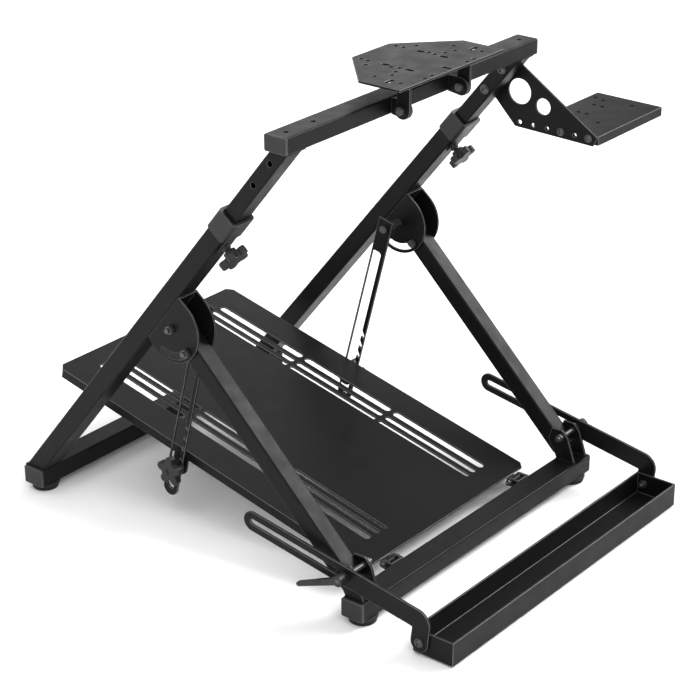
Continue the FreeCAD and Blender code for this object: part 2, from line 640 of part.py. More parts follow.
def plate_brackets():
    body = new_body("plate_bracket")
    side = new_sketch(body, "plate_bracket_side", "YZ_Plane")
    outline(side, [
        ("tilt_out", "tilt_drop"), ("0", "lug_r", "0", "0", 1), ("0", "-lug_r"), ("tilt_out", "-lug_r + 3")])
    pad(body, side, "lug_thick")
    bore = new_sketch(body, "plate_bracket_bore", "YZ_Plane")
    circle(bore, "0", "0", "tilt_d / 2")
    pocket(body, bore, "4 * lug_thick", symmetric=True)
    place(body, "-lug_x", "tilt_y", "tilt_z")
    pair(body, "plate_brackets")
    where = ("tilt_y", "tilt_z")
    inner, outer = "lug_x - lug_thick - head_len", "lug_x + lug_thick + 2 * lug_gap"
    rod = cross_rod("tilt_rod", inner, "%s + head_len" % outer, *where, "tilt_d")
    nut, head = hex_nut("tilt_nut", inner, *where), hex_nut("tilt_head", outer, *where)
    pair(fuse("tilt_whole", [rod, nut, head]), "tilt_bolts")


# Wheel plate with its two lugs; the tilt axis is the body's own X axis
def wheel_plate():
    body = new_body("wheel_plate")
    near = "-plate_near + tilt_out + top_wide / 2"
    far = "plate_far + tilt_out + top_wide / 2"
    corner = "%s + plate_cut_y" % near
    top = new_sketch(body, "wheel_plate_top", "XY_Plane", "plate_under")
    polygon(top, [
        ("-plate_wide / 2", near), ("plate_wide / 2", near), ("plate_wide / 2", corner),
        ("plate_tip / 2", far), ("-plate_tip / 2", far), ("-plate_wide / 2", corner)])
    pad(body, top, "plate_thick")
    for name, x in (("left", "-lug_x - lug_thick - lug_gap"), ("right", "lug_x + lug_gap")):
        lug = new_sketch(body, "lug_" + name, "YZ_Plane", x)
        outline(lug, [
            ("-lug_r", "plate_under"), ("-lug_r", "0", "0", "0", 1), ("lug_r - 5", "-sqrt(lug_r ^ 2 - (lug_r - 5) ^ 2)"),
            ("lug_r - 5", "plate_under")])
        pad(body, lug, "lug_thick")
    bores = new_sketch(body, "lug_bores", "YZ_Plane")
    circle(bores, "0", "0", "tilt_d / 2 + pin_gap")
    pocket(body, bores, "plate_wide", symmetric=True)
    holes = new_sketch(body, "wheel_plate_holes", "XY_Plane", "plate_under")
    # places measured from the tilt axis: across the plate, then away from the user
    for x, y in ((41, 99), (42, 86), (60, 76), (45, 42), (42, 29.5), (59, 23), (75, 17.5), (94, 33.5),
                 (97, -14.5), (59, -28), (42, -28)):
        for side in (-1, 1):
            circle(holes, "%d * %s" % (side, x), str(y), "small_d / 2")
    for x1, y1, x2, y2 in ((41, 50, 41, 58), (41, 8, 41, 16), (94, 2, 106, 2)):
        for side in (-1, 1):
            slot(holes, "%d * %s" % (side, x1), str(y1), "%d * %s" % (side, x2), str(y2), "slot_d / 2")
    slot(holes, "0", "-28", "0", "-18", "slot_d / 2")
    pocket(body, holes, "2 * plate_thick", flip=True)
    place(body, "0", "tilt_y", "tilt_z")
    keep(body, "wheel_plate")


# Shifter bracket: flat plate on the right inner tube's outer face
def shifter_bracket():
    body = new_body("shifter_bracket")
    side = new_sketch(body, "shifter_side", "YZ_Plane")
    hole_1y = "far_y - side_hole_low * sin(post_lean)"
    hole_1z = "bar_top + side_hole_low * cos(post_lean)"
    hole_2y = "far_y - (side_hole_low + side_hole_pitch) * sin(post_lean)"
    hole_2z = "bar_top + (side_hole_low + side_hole_pitch) * cos(post_lean)"
    polygon(side, [
        ("top_y - shift_near", "shift_low + 15"), ("top_y - shift_near + 8", "shift_low"),
        ("top_y + 12.5", "shift_low + 3"), ("%s + 7" % hole_1y, "%s - 20" % hole_1z),
        ("%s + 20" % hole_1y, "%s - 2" % hole_1z), ("%s + 14" % hole_2y, "%s + 12" % hole_2z),
        ("%s - 14" % hole_2y, "%s + 12" % hole_2z), ("top_y + 2.5", "shift_low + 105")])
    pad(body, side, "shift_thick")
    holes = new_sketch(body, "shifter_holes", "YZ_Plane")
    circle(holes, "top_y + 5.5", "shift_low + 61", "big_hole_d / 2")
    circle(holes, "top_y - 39", "shift_low + 45", "mid_hole_d / 2")
    circle(holes, hole_1y, hole_1z, "side_hole_d / 2")
    circle(holes, hole_2y, hole_2z, "side_hole_d / 2")
    for step in range(int(val("row_count"))):
        circle(holes, "top_y - shift_near + row_start + %d * row_pitch" % step, "shift_low + row_lift", "row_hole_d / 2")
    pocket(body, holes, "4 * shift_thick", symmetric=True)
    place(body, "shift_x", "0", "0")
    keep(body, "shifter_bracket")


# Shifter plate: sheet with folded edges, bolted to the bracket by its left edge
def shifter_plate():
    body = new_body("shifter_plate")
    top = new_sketch(body, "shifter_top", "XY_Plane")
    polygon(top, [("0", "0"), ("tray_x_len", "0"), ("tray_x_len", "tray_y_len"), ("0", "tray_y_len")])
    pad(body, top, "tray_lip", flip=True)
    inside = new_sketch(body, "shifter_under", "XY_Plane", "-tray_sheet")
    polygon(inside, [
        ("tray_sheet", "tray_sheet"), ("tray_x_len - tray_sheet", "tray_sheet"),
        ("tray_x_len - tray_sheet", "tray_y_len - tray_sheet"), ("tray_sheet", "tray_y_len - tray_sheet")])
    pocket(body, inside, "2 * tray_lip")
    holes = new_sketch(body, "shifter_plate_holes", "XY_Plane")
    # places from the plate's centre
    for x, y in ((-36.5, -22.5), (-11, 14.5), (-11, 29.5), (34.5, 14.5), (34.5, 29.5), (62.5, 30.5), (68, 48.5),
                 (67.5, -20)):
        circle(holes, "tray_x_len / 2 + (%s)" % x, "tray_y_len / 2 + (%s)" % y, "small_d / 2")
    pocket(body, holes, "2 * tray_sheet")
    row = new_sketch(body, "shifter_row", "YZ_Plane")
    held = int(val("row_count")) - 2
    for step in range(held):
        circle(row, "row_start + %d * row_pitch" % step, "shift_low + row_lift - shift_top", "row_hole_d / 2")
    # the folded edge stops short of the bracket's last holes
    lip_end = "row_start + %s * row_pitch" % (held - 0.5)
    polygon(row, [
        (lip_end, "-tray_sheet"), (lip_end, "-2 * tray_lip"), ("2 * tray_y_len", "-2 * tray_lip"),
        ("2 * tray_y_len", "-tray_sheet")])
    pocket(body, row, "2 * tray_sheet", symmetric=True)
    place(body, "shift_x + shift_thick", "top_y - shift_near", "shift_top")
    keep(body, "shifter_plate")


# Pedal plate with folded side edges, slot rows, hinge knuckles and the studs that hold the straps
def pedal_plate():
    body = new_body("pedal_plate")
    half = "deck_wide / 2"
    end = "deck_start + deck_len"
    top = new_sketch(body, "deck_top", "XY_Plane", "-deck_thick / 2")
    polygon(top, [
        ("-%s + deck_corner" % half, "deck_start"), ("%s - deck_corner" % half, "deck_start"),
        (half, "deck_start + deck_corner"), (half, "%s - deck_corner" % end), ("%s - deck_corner" % half, end),
        ("-%s + deck_corner" % half, end), ("-%s" % half, "%s - deck_corner" % end),
        ("-%s" % half, "deck_start + deck_corner")])
    pad(body, top, "deck_thick")
    for name, x in (("left", "-%s" % half), ("right", "%s - deck_thick" % half)):
        lip = new_sketch(body, "deck_lip_" + name, "YZ_Plane", x)
        outline(lip, [
            ("deck_start + deck_corner", "deck_thick / 2"),
            ("deck_start + deck_corner", "deck_thick / 2 - deck_lip"),
            ("stud_y - tab_r", "deck_thick / 2 - deck_lip"),
            ("stud_y - tab_r", "-stud_drop", "stud_y", "-stud_drop", 1),
            ("stud_y + tab_r", "-stud_drop"),
            ("stud_y + tab_r", "deck_thick / 2 - deck_lip"),
            ("%s - deck_corner" % end, "deck_thick / 2 - deck_lip"),
            ("%s - deck_corner" % end, "deck_thick / 2")])
        pad(body, lip, "deck_thick")
    stud = new_sketch(body, "deck_stud", "YZ_Plane")
    circle(stud, "stud_y", "-stud_drop", "stud_d / 2")
    pad(body, stud, "2 * (strap_x + strap_thick / 2 + strap_knob_gap + strap_hub_len + knob_thick)", symmetric=True)
    shoulder = new_sketch(body, "deck_shoulder", "YZ_Plane")
    circle(shoulder, "stud_y", "-stud_drop", "stud_shoulder_d / 2")
    pad(body, shoulder, "2 * (strap_x - strap_thick / 2 - strap_play)", symmetric=True)
    between = new_sketch(body, "deck_between", "YZ_Plane")
    circle(between, "stud_y", "-stud_drop", "stud_shoulder_d / 2 + 0.2")
    pocket(body, between, "deck_wide - 2 * deck_thick", symmetric=True)
    for name, side in (("left", -1), ("right", 1)):
        knuckle = new_sketch(body, "knuckle_" + name, "YZ_Plane", "%d * knuckle_x - knuckle_len / 2" % side)
        circle(knuckle, "0", "0", "knuckle_d / 2")
        pad(body, knuckle, "knuckle_len")
        leaf = new_sketch(body, "leaf_" + name, "XY_Plane", "-deck_thick / 2")
        polygon(leaf, [
            ("%d * knuckle_x - knuckle_len / 2" % side, "0"), ("%d * knuckle_x + knuckle_len / 2" % side, "0"),
            ("%d * knuckle_x + knuckle_len / 2" % side, "deck_start + deck_thick"),
            ("%d * knuckle_x - knuckle_len / 2" % side, "deck_start + deck_thick")])
        pad(body, leaf, "leaf_thick")
    bore = new_sketch(body, "knuckle_bore", "YZ_Plane")
    circle(bore, "0", "0", "pin_d / 2 + pin_gap")
    pocket(body, bore, "deck_wide", symmetric=True)
    slots = new_sketch(body, "deck_slots", "XY_Plane", "-deck_thick")
    for place_x, wide in (("row_in", "slot_in"), ("row_mid", "slot_mid"), ("row_out", "slot_out")):
        for step in range(int(val("slot_rows"))):
            start = "deck_start + slot_first + %d * (slot_len + slot_bridge) + %s / 2" % (step, wide)
            stop = "deck_start + slot_first + %d * (slot_len + slot_bridge) + slot_len - %s / 2" % (step, wide)
            for side in (-1, 1):
                slot(slots, "%d * %s" % (side, place_x), start, "%d * %s" % (side, place_x), stop, "%s / 2" % wide)
    pocket(body, slots, "3 * deck_thick", flip=True)
    place(body, "0", "deck_y", "deck_axis_z", "deck_lean")
    keep(body, "pedal_plate")


# Adjusting strap: flat bar with a long slot whose user side carries hooked teeth
def strap():
    body = new_body("strap")
    side = new_sketch(body, "strap_side", "YZ_Plane", "-strap_thick / 2")
    near, far = "strap_shift - strap_wide / 2", "strap_shift + strap_wide / 2"
    low = "-strap_len + strap_wide / 2"
    outline(side, [(near, "strap_top"), (near, low, "strap_shift", low, 1), (far, low), (far, "strap_top")])
    pad(body, side, "strap_thick")
    bore = new_sketch(body, "strap_bore", "YZ_Plane")
    circle(bore, "0", "0", "pin_d / 2 + pin_gap")
    pocket(body, bore, "4 * strap_thick", symmetric=True)
    window = new_sketch(body, "strap_window", "YZ_Plane")
    toothed, rail = "(%s + strap_tooth)" % near, "(%s - strap_rail)" % far
    top, bottom, r = "(-strap_slot_top)", "(-strap_slot_low)", "strap_slot_r"
    outline(window, [
        ("%s - %s" % (rail, r), top, "%s - %s" % (rail, r), "%s - %s" % (top, r), -1),
        (rail, "%s - %s" % (top, r)),
        (rail, "%s + 2 * %s" % (bottom, r)), ("%s - 2 * %s" % (rail, r), bottom), (toothed, bottom),
        (toothed, "%s - %s" % (top, r), "%s + %s" % (toothed, r), "%s - %s" % (top, r), -1),
        ("%s + %s" % (toothed, r), top)])
    pocket(body, window, "4 * strap_thick", symmetric=True)
    notches = new_sketch(body, "strap_notches", "YZ_Plane")
    for step in range(int(val("tooth_count"))):
        start = "-tooth_first - %d * tooth_pitch" % step
        polygon(notches, [
            (toothed, start), ("%s - notch_deep" % toothed, "%s - notch_len + 2 * hook_rise" % start),
            ("%s - notch_deep" % toothed, "%s - notch_len" % start),
            (toothed, "%s - notch_len + hook_rise" % start)])
    pocket(body, notches, "4 * strap_thick", symmetric=True)
    place(body, "-strap_x", "pivot_y", "pivot_z", "strap_lean")
    both_sides(body, "strap")


def strap_knob():
    knob = star_knob("strap_knob", "1", "strap_hub_len", "stud_d / 2 + pin_gap")
    # the hub faces the strap
    place(knob, "-(strap_x + strap_thick / 2 + strap_knob_gap + strap_hub_len)", "stud_gy", "stud_gz", "-90", Vector(0, 1, 0))
    both_sides(knob, "strap_knob")


# Sliding arms of the castor tray, slotted for the clamp bolts and bent down at the tray
def arm():
    body = new_body("arm")
    side = new_sketch(body, "arm_side", "YZ_Plane")
    half = "arm_high / 2"
    leg = "sqrt((leg_y - drop_y) ^ 2 + leg_drop ^ 2)"
    ny, nz = "(leg_drop / %s)" % leg, "((leg_y - drop_y) / %s)" % leg
    outer = ("-leg_y - arm_end_r * %s" % ny, "-leg_drop + arm_end_r * %s" % nz)
    inner = ("-leg_y + arm_end_r * %s" % ny, "-leg_drop - arm_end_r * %s" % nz)
    slope = "((leg_y - drop_y) / leg_drop)"
    # the outer side of the bend is an arc that meets both edges smoothly
    corner = "(%s + (%s - (%s)) * %s)" % (outer[0], half, outer[1], slope)
    bend = "(arm_bend_r * sqrt((1 - %s) / (1 + %s)))" % (nz, nz)
    outline(side, [
        ("arm_far - %s" % half, "-%s" % half, "arm_far - %s" % half, "0", 1), ("arm_far - %s" % half, half),
        ("%s + %s" % (corner, bend), half, "%s + %s" % (corner, bend), "%s - arm_bend_r" % half, 1),
        ("%s - %s * %s" % (corner, bend, nz), "%s - %s * %s" % (half, bend, ny)),
        (outer[0], outer[1], "-leg_y", "-leg_drop", 1), inner,
        ("%s + (-%s - (%s)) * %s" % (inner[0], half, inner[1], slope), "-%s" % half)])
    pad(body, side, "arm_thick", flip=True)
    track = new_sketch(body, "arm_track", "YZ_Plane")
    slot(track, "0", "0", "arm_slot_len", "0", "arm_slot_d / 2")
    pocket(body, track, "4 * arm_thick", symmetric=True)
    place(body, "-arm_x", "clamp_gy", "clamp_gz", "arm_lean")
    both_sides(body, "arm")


# Castor tray: channel with closed ends
def castor_tray():
    body = new_body("castor_tray")
    high = "castor_low + castor_high"
    side = new_sketch(body, "castor_side", "YZ_Plane")
    polygon(side, [
        ("-castor_near", "castor_low"), ("-castor_far", "castor_low"), ("-castor_far", high), ("-castor_near", high)])
    pad(body, side, "2 * arm_x", symmetric=True)
    inside = new_sketch(body, "castor_inside", "YZ_Plane")
    near, far, low = "-castor_near + castor_sheet", "-castor_far - castor_sheet", "castor_low + castor_sheet"
    polygon(inside, [(near, low), (far, low), (far, "2 * (%s)" % high), (near, "2 * (%s)" % high)])
    pocket(body, inside, "2 * arm_x - 2 * castor_sheet", symmetric=True)
    place(body, "0", "near_y", "0")
    keep(body, "castor_tray")


# Clamp bolts through both ears of a brace, with a spacer behind the arm and a nut at the inner end
def clamp_bolts():
    ear = "post_x + brace_wide / 2 + ear_thick"
    inner = "post_x - brace_wide / 2 - ear_thick - lever_gap - head_len"
    where = ("clamp_gy", "clamp_gz")
    rod = cross_rod("clamp_rod", "%s - thread_out" % inner, "arm_x + arm_thick + lever_gap + lever_hub_len", *where,
                    "pin_d")
    spacer = cross_rod("clamp_spacer", "%s + spacer_gap" % ear, "arm_x - spacer_gap", *where, "spacer_d")
    nut = hex_nut("clamp_nut", inner, *where)
    pair(fuse("clamp_whole", [rod, spacer, nut]), "clamp_bolts")


# Clamp lever: hub on the bolt and a tapering handle
def lever():
    body = new_body("lever")
    hub = new_sketch(body, "lever_hub", "YZ_Plane")
    circle(hub, "0", "0", "lever_hub_d / 2")
    pad(body, hub, "lever_hub_len", flip=True)
    grip = new_sketch(body, "lever_grip", "YZ_Plane", "-lever_hub_len")
    outline(grip, [
        ("0", "-lever_root / 2"), ("lever_len - lever_tip / 2", "-lever_tip / 2", "lever_len - lever_tip / 2", "0", 1),
        ("lever_len - lever_tip / 2", "lever_tip / 2"), ("0", "lever_root / 2")])
    pad(body, grip, "lever_tip")
    bore = new_sketch(body, "lever_bore", "YZ_Plane")
    circle(bore, "0", "0", "pin_d / 2 + pin_gap")
    pocket(body, bore, "4 * lever_hub_len", symmetric=True)
    place(body, "-(arm_x + arm_thick + lever_gap)", "clamp_gy", "clamp_gz", "lever_lean")
    both_sides(body, "lever")


post()
inner_tube()
collar()
post_knob()
hinge()
pivot_bolts()
lock_bolts()
brace()
brace_brackets()
pedal_clevises()
top_crossbar()
plate_brackets()
wheel_plate()
shifter_bracket()
shifter_plate()
pedal_plate()
strap()
strap_knob()
arm()
castor_tray()
clamp_bolts()
lever()

doc.removeObject("Numbers")
doc.recompute()

# Nothing is written unless every object is sound
for item in doc.Objects:
    if "Invalid" in item.State or "Error" in item.State:
        raise ValueError("failed: " + item.Name)
for piece in PIECES:
    if piece.Shape.isNull() or not piece.Shape.isValid():
        raise ValueError("bad shape: " + piece.Label)

os.makedirs("parts", exist_ok=True)
for piece in PIECES:
    piece.Shape.exportStep("parts/%s.step" % piece.Label)
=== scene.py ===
import math

import bmesh
import bpy
from mathutils import Matrix, Vector


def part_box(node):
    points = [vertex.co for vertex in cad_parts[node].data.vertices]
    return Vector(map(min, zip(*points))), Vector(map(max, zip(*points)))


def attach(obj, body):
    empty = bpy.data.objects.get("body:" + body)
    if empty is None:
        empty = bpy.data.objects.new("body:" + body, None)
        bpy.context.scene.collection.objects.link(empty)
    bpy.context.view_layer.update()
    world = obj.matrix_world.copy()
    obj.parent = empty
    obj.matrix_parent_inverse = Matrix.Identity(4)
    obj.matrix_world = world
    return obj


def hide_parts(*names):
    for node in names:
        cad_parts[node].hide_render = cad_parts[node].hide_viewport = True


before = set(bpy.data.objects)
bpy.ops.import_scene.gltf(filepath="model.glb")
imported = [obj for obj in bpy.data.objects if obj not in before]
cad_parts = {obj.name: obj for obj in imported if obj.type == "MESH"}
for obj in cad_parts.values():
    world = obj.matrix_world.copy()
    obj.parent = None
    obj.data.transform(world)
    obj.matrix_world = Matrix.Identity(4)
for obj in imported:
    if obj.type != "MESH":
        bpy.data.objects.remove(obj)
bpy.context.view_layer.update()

bl_info = {
    "name": "Folding Wheel Stand",
    "version": (1, 0, 0),
    "blender": (4, 5, 0),
    "location": "View3D > Sidebar > Stand",
    "description": "Finishes, fasteners and studio for a folding racing wheel and pedal stand",
    "category": "Object",
}

# Pieces of the stand by what they are made of
TUBES = ["far_crossbar", "near_crossbar", "top_crossbar", "post_left", "post_right", "inner_tube_left",
         "inner_tube_right", "brace_left", "brace_right"]
SHEETS = ["hinge_left", "hinge_right", "brace_brackets", "pedal_clevises", "plate_brackets",
          "shifter_bracket", "shifter_plate", "wheel_plate", "pedal_plate", "strap_left", "strap_right",
          "arm_left", "arm_right", "castor_tray"]
BOLTS = ["pivot_bolts", "lock_bolts", "tilt_bolts", "clamp_bolts"]
COLLARS = ["collar_left", "collar_right"]
CAPS = ["far_end_caps", "near_end_caps", "top_end_caps"]
KNOBS = ["post_knob_left", "post_knob_right", "strap_knob_left", "strap_knob_right"]
LEVERS = ["lever_left", "lever_right"]
SIDES = {"left": -1, "right": 1}

# Edges that get rounded: how sharp they are, and how long on a sheet with holes next to a bend
SHARP_ANGLE = math.radians(40)
LONG_EDGE = 0.004
CLOSE_HOLES = ["shifter_plate"]
# Faces that count as one flat face, and points that count as one
FLAT_ANGLE = math.radians(0.6)
MERGE_GAP = 0.000004
# Edge roundings as a share of the common ones, and the steps of a rounding
FINE_EDGES = {"hinge_left": 0.7, "hinge_right": 0.7}
COLLAR_EDGE = 0.85
LEVER_EDGE = 0.8
EDGE_STEPS = 2
MOULDED_STEPS = 3
# Rounding of a screw's edges in metres
SCREW_EDGE = 0.0004
# How far a large face outweighs a small one in the shading, and which sizes count as alike
FACE_WEIGHT = 100
ALIKE = 0.0001

# Gloss, metal and tones of the finishes
COAT_GLOSS = 0.12
PLASTIC_GLOSS = 0.34
RUBBER_GLOSS = 0.35
OXIDE_METAL = 0.75
SHEET_TONE = 1.12
SHEET_GRAIN = 0.8
# Share of the edge colour on plastic edges, which are lighter as wear and a painted highlight
PLASTIC_EDGE_WEAR_AND_HIGHLIGHT = 0.7

# Rubber feet, as shares of a foot's radius; heights of the sole's rim as shares of its edge
FOOT_SIDES = 48
FOOT_EDGE = 0.06
SOLE_GROOVE = (0.42, 0.45, 0.6, 0.63)
SOLE_RIM = ((0.86, 0.0), (0.9, 0.4), (0.915, 1.4))
FOOT_WAIST = 0.915
FOOT_FLARE = 0.06
FOOT_SHOULDER = 0.985
FOOT_TOP = 0.97
RING_DEPTH = 0.035
# Grooved band as shares of a foot's height, and where a groove starts and ends within its step
RING_BAND = (0.2, 0.62)
RING_STEPS = (0.5, 0.58, 0.88, 0.95)
# Depth of the sole's groove in metres
SOLE_DEPTH = 0.0008

# Screws, nuts and welds: corners of their solids and shares of their sizes
WASHER_SIDES = 28
HEAD_SIDES = 24
THREAD_SIDES = 16
HEXAGON = 6
CROWN_SHARE = 0.66
SOCKET_FLOOR = 0.4
THREAD_ROOT = 0.84
THREAD_TURNS = 4
RIPPLE_SIDES = 8
RIPPLE_RINGS = 5
RIPPLE_SQUASH = (1, 1, 0.62)
RIPPLE_SIZES = (0.88, 1.1)
RIPPLE_SEED = 5

# Sizes of the screws as a share of a 6 mm one
BRACKET_SCREW = 1.2
ROW_SCREW = 1.0
CLEVIS_SCREW = 0.9
ARM_SCREW = 1.1

# Places that follow the solids: the posts' lean, the bolted holes by number, the rest in metres
POST_LEAN = math.radians(38.83)
TUBE_HOLES = (0.76, 0.809)
ROW_START = 0.0165
ROW_PITCH = 0.0254
ROW_LIFT = 0.0115
ROW_BOLTS = (0, 2)
LIP_SHEET = 0.003
CLEVIS_SPAN = 0.029
CLEVIS_REACH = 0.016
TRAY_SHEET = 0.003
ARM_END = (0.0181, 0.0149)
SEAM_REACH = 0.0003

# Studio, in metres; the band of the sky's glow by height of direction, the sensor in millimetres
FLOOR_SIZE = 40.0
FLOOR_PARTS = 2
LAMP_REACH = 3.0
BACK_PLACE = (2.2, 1.8, 1.6)
BACK_TARGET = (0, 0, 0.3)
BACK_SIZE = 1.4
GLOW_BAND = (0.1, 0.4)
VIEW_DEPTH = 120.0
SENSOR_WIDTH = 36.0


# Sizes and colours that a user may change
class StandFinish(bpy.types.PropertyGroup):
    """Colours and grain of the stand's finishes"""

    steel_colour: bpy.props.FloatVectorProperty(
        name="Steel", description="Powder coat on tubes and sheet", subtype="COLOR",
        default=(0.0045, 0.0045, 0.0048))
    # Lighter colour of the rounded edges: wear, and a painted highlight where the edges would catch the light
    edge_wear_and_highlight_colour: bpy.props.FloatVectorProperty(
        name="Edges", description="Rubbed coat on edges", subtype="COLOR", default=(0.085, 0.085, 0.088))
    bolt_colour: bpy.props.FloatVectorProperty(
        name="Bolts", description="Blackened bolts and nuts", subtype="COLOR",
        default=(0.075, 0.075, 0.078))
    plastic_colour: bpy.props.FloatVectorProperty(
        name="Plastic", description="Knobs, levers, collars and caps", subtype="COLOR",
        default=(0.0105, 0.0105, 0.011))
    rubber_colour: bpy.props.FloatVectorProperty(
        name="Rubber", description="Feet", subtype="COLOR", default=(0.012, 0.012, 0.012))
    coat_grain: bpy.props.FloatProperty(
        name="Coat grain", description="Width of the powder coat's dimples", unit="LENGTH", default=0.0011)
    tube_edge: bpy.props.FloatProperty(
        name="Tube edge", description="Rounding of cut tube ends", unit="LENGTH", default=0.0005)
    sheet_edge: bpy.props.FloatProperty(
        name="Sheet edge", description="Rounding of sheet edges", unit="LENGTH", default=0.0008)


class StandFasteners(bpy.types.PropertyGroup):
    """Sizes of the small screws and welds"""

    head_radius: bpy.props.FloatProperty(
        name="Head radius", description="Button head of a 6 mm screw", unit="LENGTH", default=0.0053)
    head_height: bpy.props.FloatProperty(
        name="Head height", description="Height of a button head", unit="LENGTH", default=0.0032)
    socket_radius: bpy.props.FloatProperty(
        name="Socket radius", description="Corner radius of the hexagon socket", unit="LENGTH",
        default=0.0023)
    washer_radius: bpy.props.FloatProperty(
        name="Washer radius", description="Outer radius of a washer", unit="LENGTH", default=0.0066)
    washer_height: bpy.props.FloatProperty(
        name="Washer height", description="Thickness of a washer", unit="LENGTH", default=0.0011)
    nut_radius: bpy.props.FloatProperty(
        name="Nut radius", description="Corner radius of a hexagon nut", unit="LENGTH", default=0.0057)
    nut_height: bpy.props.FloatProperty(
        name="Nut height", description="Height of a hexagon nut", unit="LENGTH", default=0.0045)
    thread_radius: bpy.props.FloatProperty(
        name="Thread radius", description="Outer radius of a screw's thread", unit="LENGTH", default=0.003)
    thread_pitch: bpy.props.FloatProperty(
        name="Thread pitch", description="Distance between the ridges of a thread", unit="LENGTH",
        default=0.001)
    weld_radius: bpy.props.FloatProperty(
        name="Weld radius", description="Half width of a weld bead", unit="LENGTH", default=0.0022)
    weld_pitch: bpy.props.FloatProperty(
        name="Weld pitch", description="Distance between the ripples of a weld", unit="LENGTH",
        default=0.0016)


class StandGrips(bpy.types.PropertyGroup):
    """Shapes of the knobs, levers, caps and feet"""

    knob_round: bpy.props.FloatProperty(
        name="Knob edge", description="Rounding of the star knobs", unit="LENGTH", default=0.0016)
    foot_rings: bpy.props.IntProperty(
        name="Foot rings", description="Grooves round each foot", default=3)
    cap_round: bpy.props.FloatProperty(
        name="Cap edge", description="Rounding of the end caps", unit="LENGTH", default=0.0013)


class StandStage(bpy.types.PropertyGroup):
    """Camera, light and floor"""

    camera_place: bpy.props.FloatVectorProperty(
        name="Camera", description="Place of the camera", subtype="TRANSLATION", unit="LENGTH",
        default=(-2.3675, -1.9719, 1.6584))
    camera_target: bpy.props.FloatVectorProperty(
        name="Target", description="Point in the middle of the picture", subtype="TRANSLATION",
        unit="LENGTH", default=(0.0032, -0.0834, 0.2599))
    lens: bpy.props.FloatProperty(name="Lens", description="Focal length", unit="CAMERA", default=110.15)
    floor_colour: bpy.props.FloatVectorProperty(
        name="Floor", description="Colour of the floor", subtype="COLOR", default=(0.93, 0.93, 0.93))
    ceiling: bpy.props.FloatProperty(
        name="Ceiling", description="Strength of the soft light overhead", default=2.2)
    ceiling_spread: bpy.props.FloatProperty(
        name="Ceiling spread", description="Angle that the soft light overhead fills", subtype="ANGLE",
        default=math.radians(100))
    side: bpy.props.FloatProperty(
        name="Side light", description="Strength of the light that the braces mirror", default=2.8)
    side_spread: bpy.props.FloatProperty(
        name="Side spread", description="Angle that the side light fills", subtype="ANGLE",
        default=math.radians(26))
    side_way: bpy.props.FloatVectorProperty(
        name="Side direction", description="Where the side light comes from", subtype="DIRECTION",
        default=(0.71, -0.385, 0.592))
    fill: bpy.props.FloatProperty(
        name="Fill light", description="Strength of the light that opens the shadows", default=1.3)
    fill_spread: bpy.props.FloatProperty(
        name="Fill spread", description="Angle that the fill light fills", subtype="ANGLE",
        default=math.radians(80))
    fill_way: bpy.props.FloatVectorProperty(
        name="Fill direction", description="Where the fill light comes from", subtype="DIRECTION",
        default=(-0.6, -0.55, 0.58))
    back_power: bpy.props.FloatProperty(
        name="Back light", description="Power of the softbox behind the stand", unit="POWER", default=8.0)
    horizon: bpy.props.FloatProperty(
        name="Horizon", description="Strength of the light low all round", default=0.95)
    sky: bpy.props.FloatProperty(
        name="Sky", description="Strength of the even light above the horizon", default=0.22)


# Nodes
def add(tree, kind, links=None, **values):
    """New node with its settings, the values of its inputs and what feeds them."""
    made = tree.nodes.new(kind)
    for key, value in values.items():
        if key in made.inputs:
            made.inputs[key].default_value = value
        else:
            setattr(made, key, value)
    for key, source in (links or {}).items():
        tree.links.new(source, made.inputs[key])
    return made


# Materials
def noise(tree, scale, detail):
    place = add(tree, "ShaderNodeTexCoord")
    texture = add(tree, "ShaderNodeTexNoise", {"Vector": place.outputs["Object"]}, Scale=scale, Detail=detail)
    return texture.outputs["Fac"]


def spread(tree, value, between, band=(0.3, 0.7)):
    """Map a value within a band to a range."""
    limits = {"From Min": band[0], "From Max": band[1], "To Min": between[0], "To Max": between[1]}
    return add(tree, "ShaderNodeMapRange", {"Value": value}, **limits).outputs["Result"]


def tint(tree, value, dark, light):
    """Colour between two tones by a value from 0 to 1."""
    ramp = add(tree, "ShaderNodeValToRGB", {"Fac": value})
    ramp.color_ramp.elements[0].color = (*dark, 1)
    ramp.color_ramp.elements[1].color = (*light, 1)
    return ramp.outputs["Color"]


def shade(colour, factor):
    return tuple(min(1.0, part * factor) for part in colour)


def dimple(tree, shader, scale, detail, depth, strength):
    """Fine bumps in a surface."""
    height = noise(tree, scale, detail)
    bump = add(tree, "ShaderNodeBump", {"Height": height}, Strength=strength, Distance=depth)
    tree.links.new(bump.outputs["Normal"], shader.inputs["Normal"])


def new_material(name, colour, tones, patches, roughness, flecks, contrast=None):
    """Material that varies between two tones of a colour in patches, and in roughness in flecks."""
    material = bpy.data.materials.new(name)
    material.use_nodes = True
    tree = material.node_tree
    shader = tree.nodes["Principled BSDF"]
    patch = noise(tree, *patches)
    if contrast:
        patch = spread(tree, patch, (0.0, 1.0), contrast)
    dark, light = (shade(colour, factor) for factor in tones)
    tree.links.new(tint(tree, patch, dark, light), shader.inputs["Base Color"])
    tree.links.new(spread(tree, noise(tree, *flecks), roughness), shader.inputs["Roughness"])
    return material, tree, shader


def powder_coat(name, colour, grain):
    """Satin black powder coat: fine dimples and uneven gloss."""
    material, tree, shader = new_material(
        name, colour, tones=(0.8, 1.25), patches=(9.0, 3.0), roughness=(0.35, 0.46), flecks=(38.0, 4.0))
    shader.inputs["Specular IOR Level"].default_value = COAT_GLOSS
    dimple(tree, shader, 1.0 / grain, detail=2.0, depth=0.00006, strength=0.35)
    return material


def worn_edge_and_highlight(name, colour):
    """Edge where the coat is thin: worn in some places and whole in others, and lighter than the coat as a
    painted highlight along rounded edges.
    """
    return new_material(
        name, colour, tones=(0.55, 1.0), patches=(55.0, 4.0), roughness=(0.34, 0.46), flecks=(120.0, 3.0),
        contrast=(0.35, 0.7))[0]


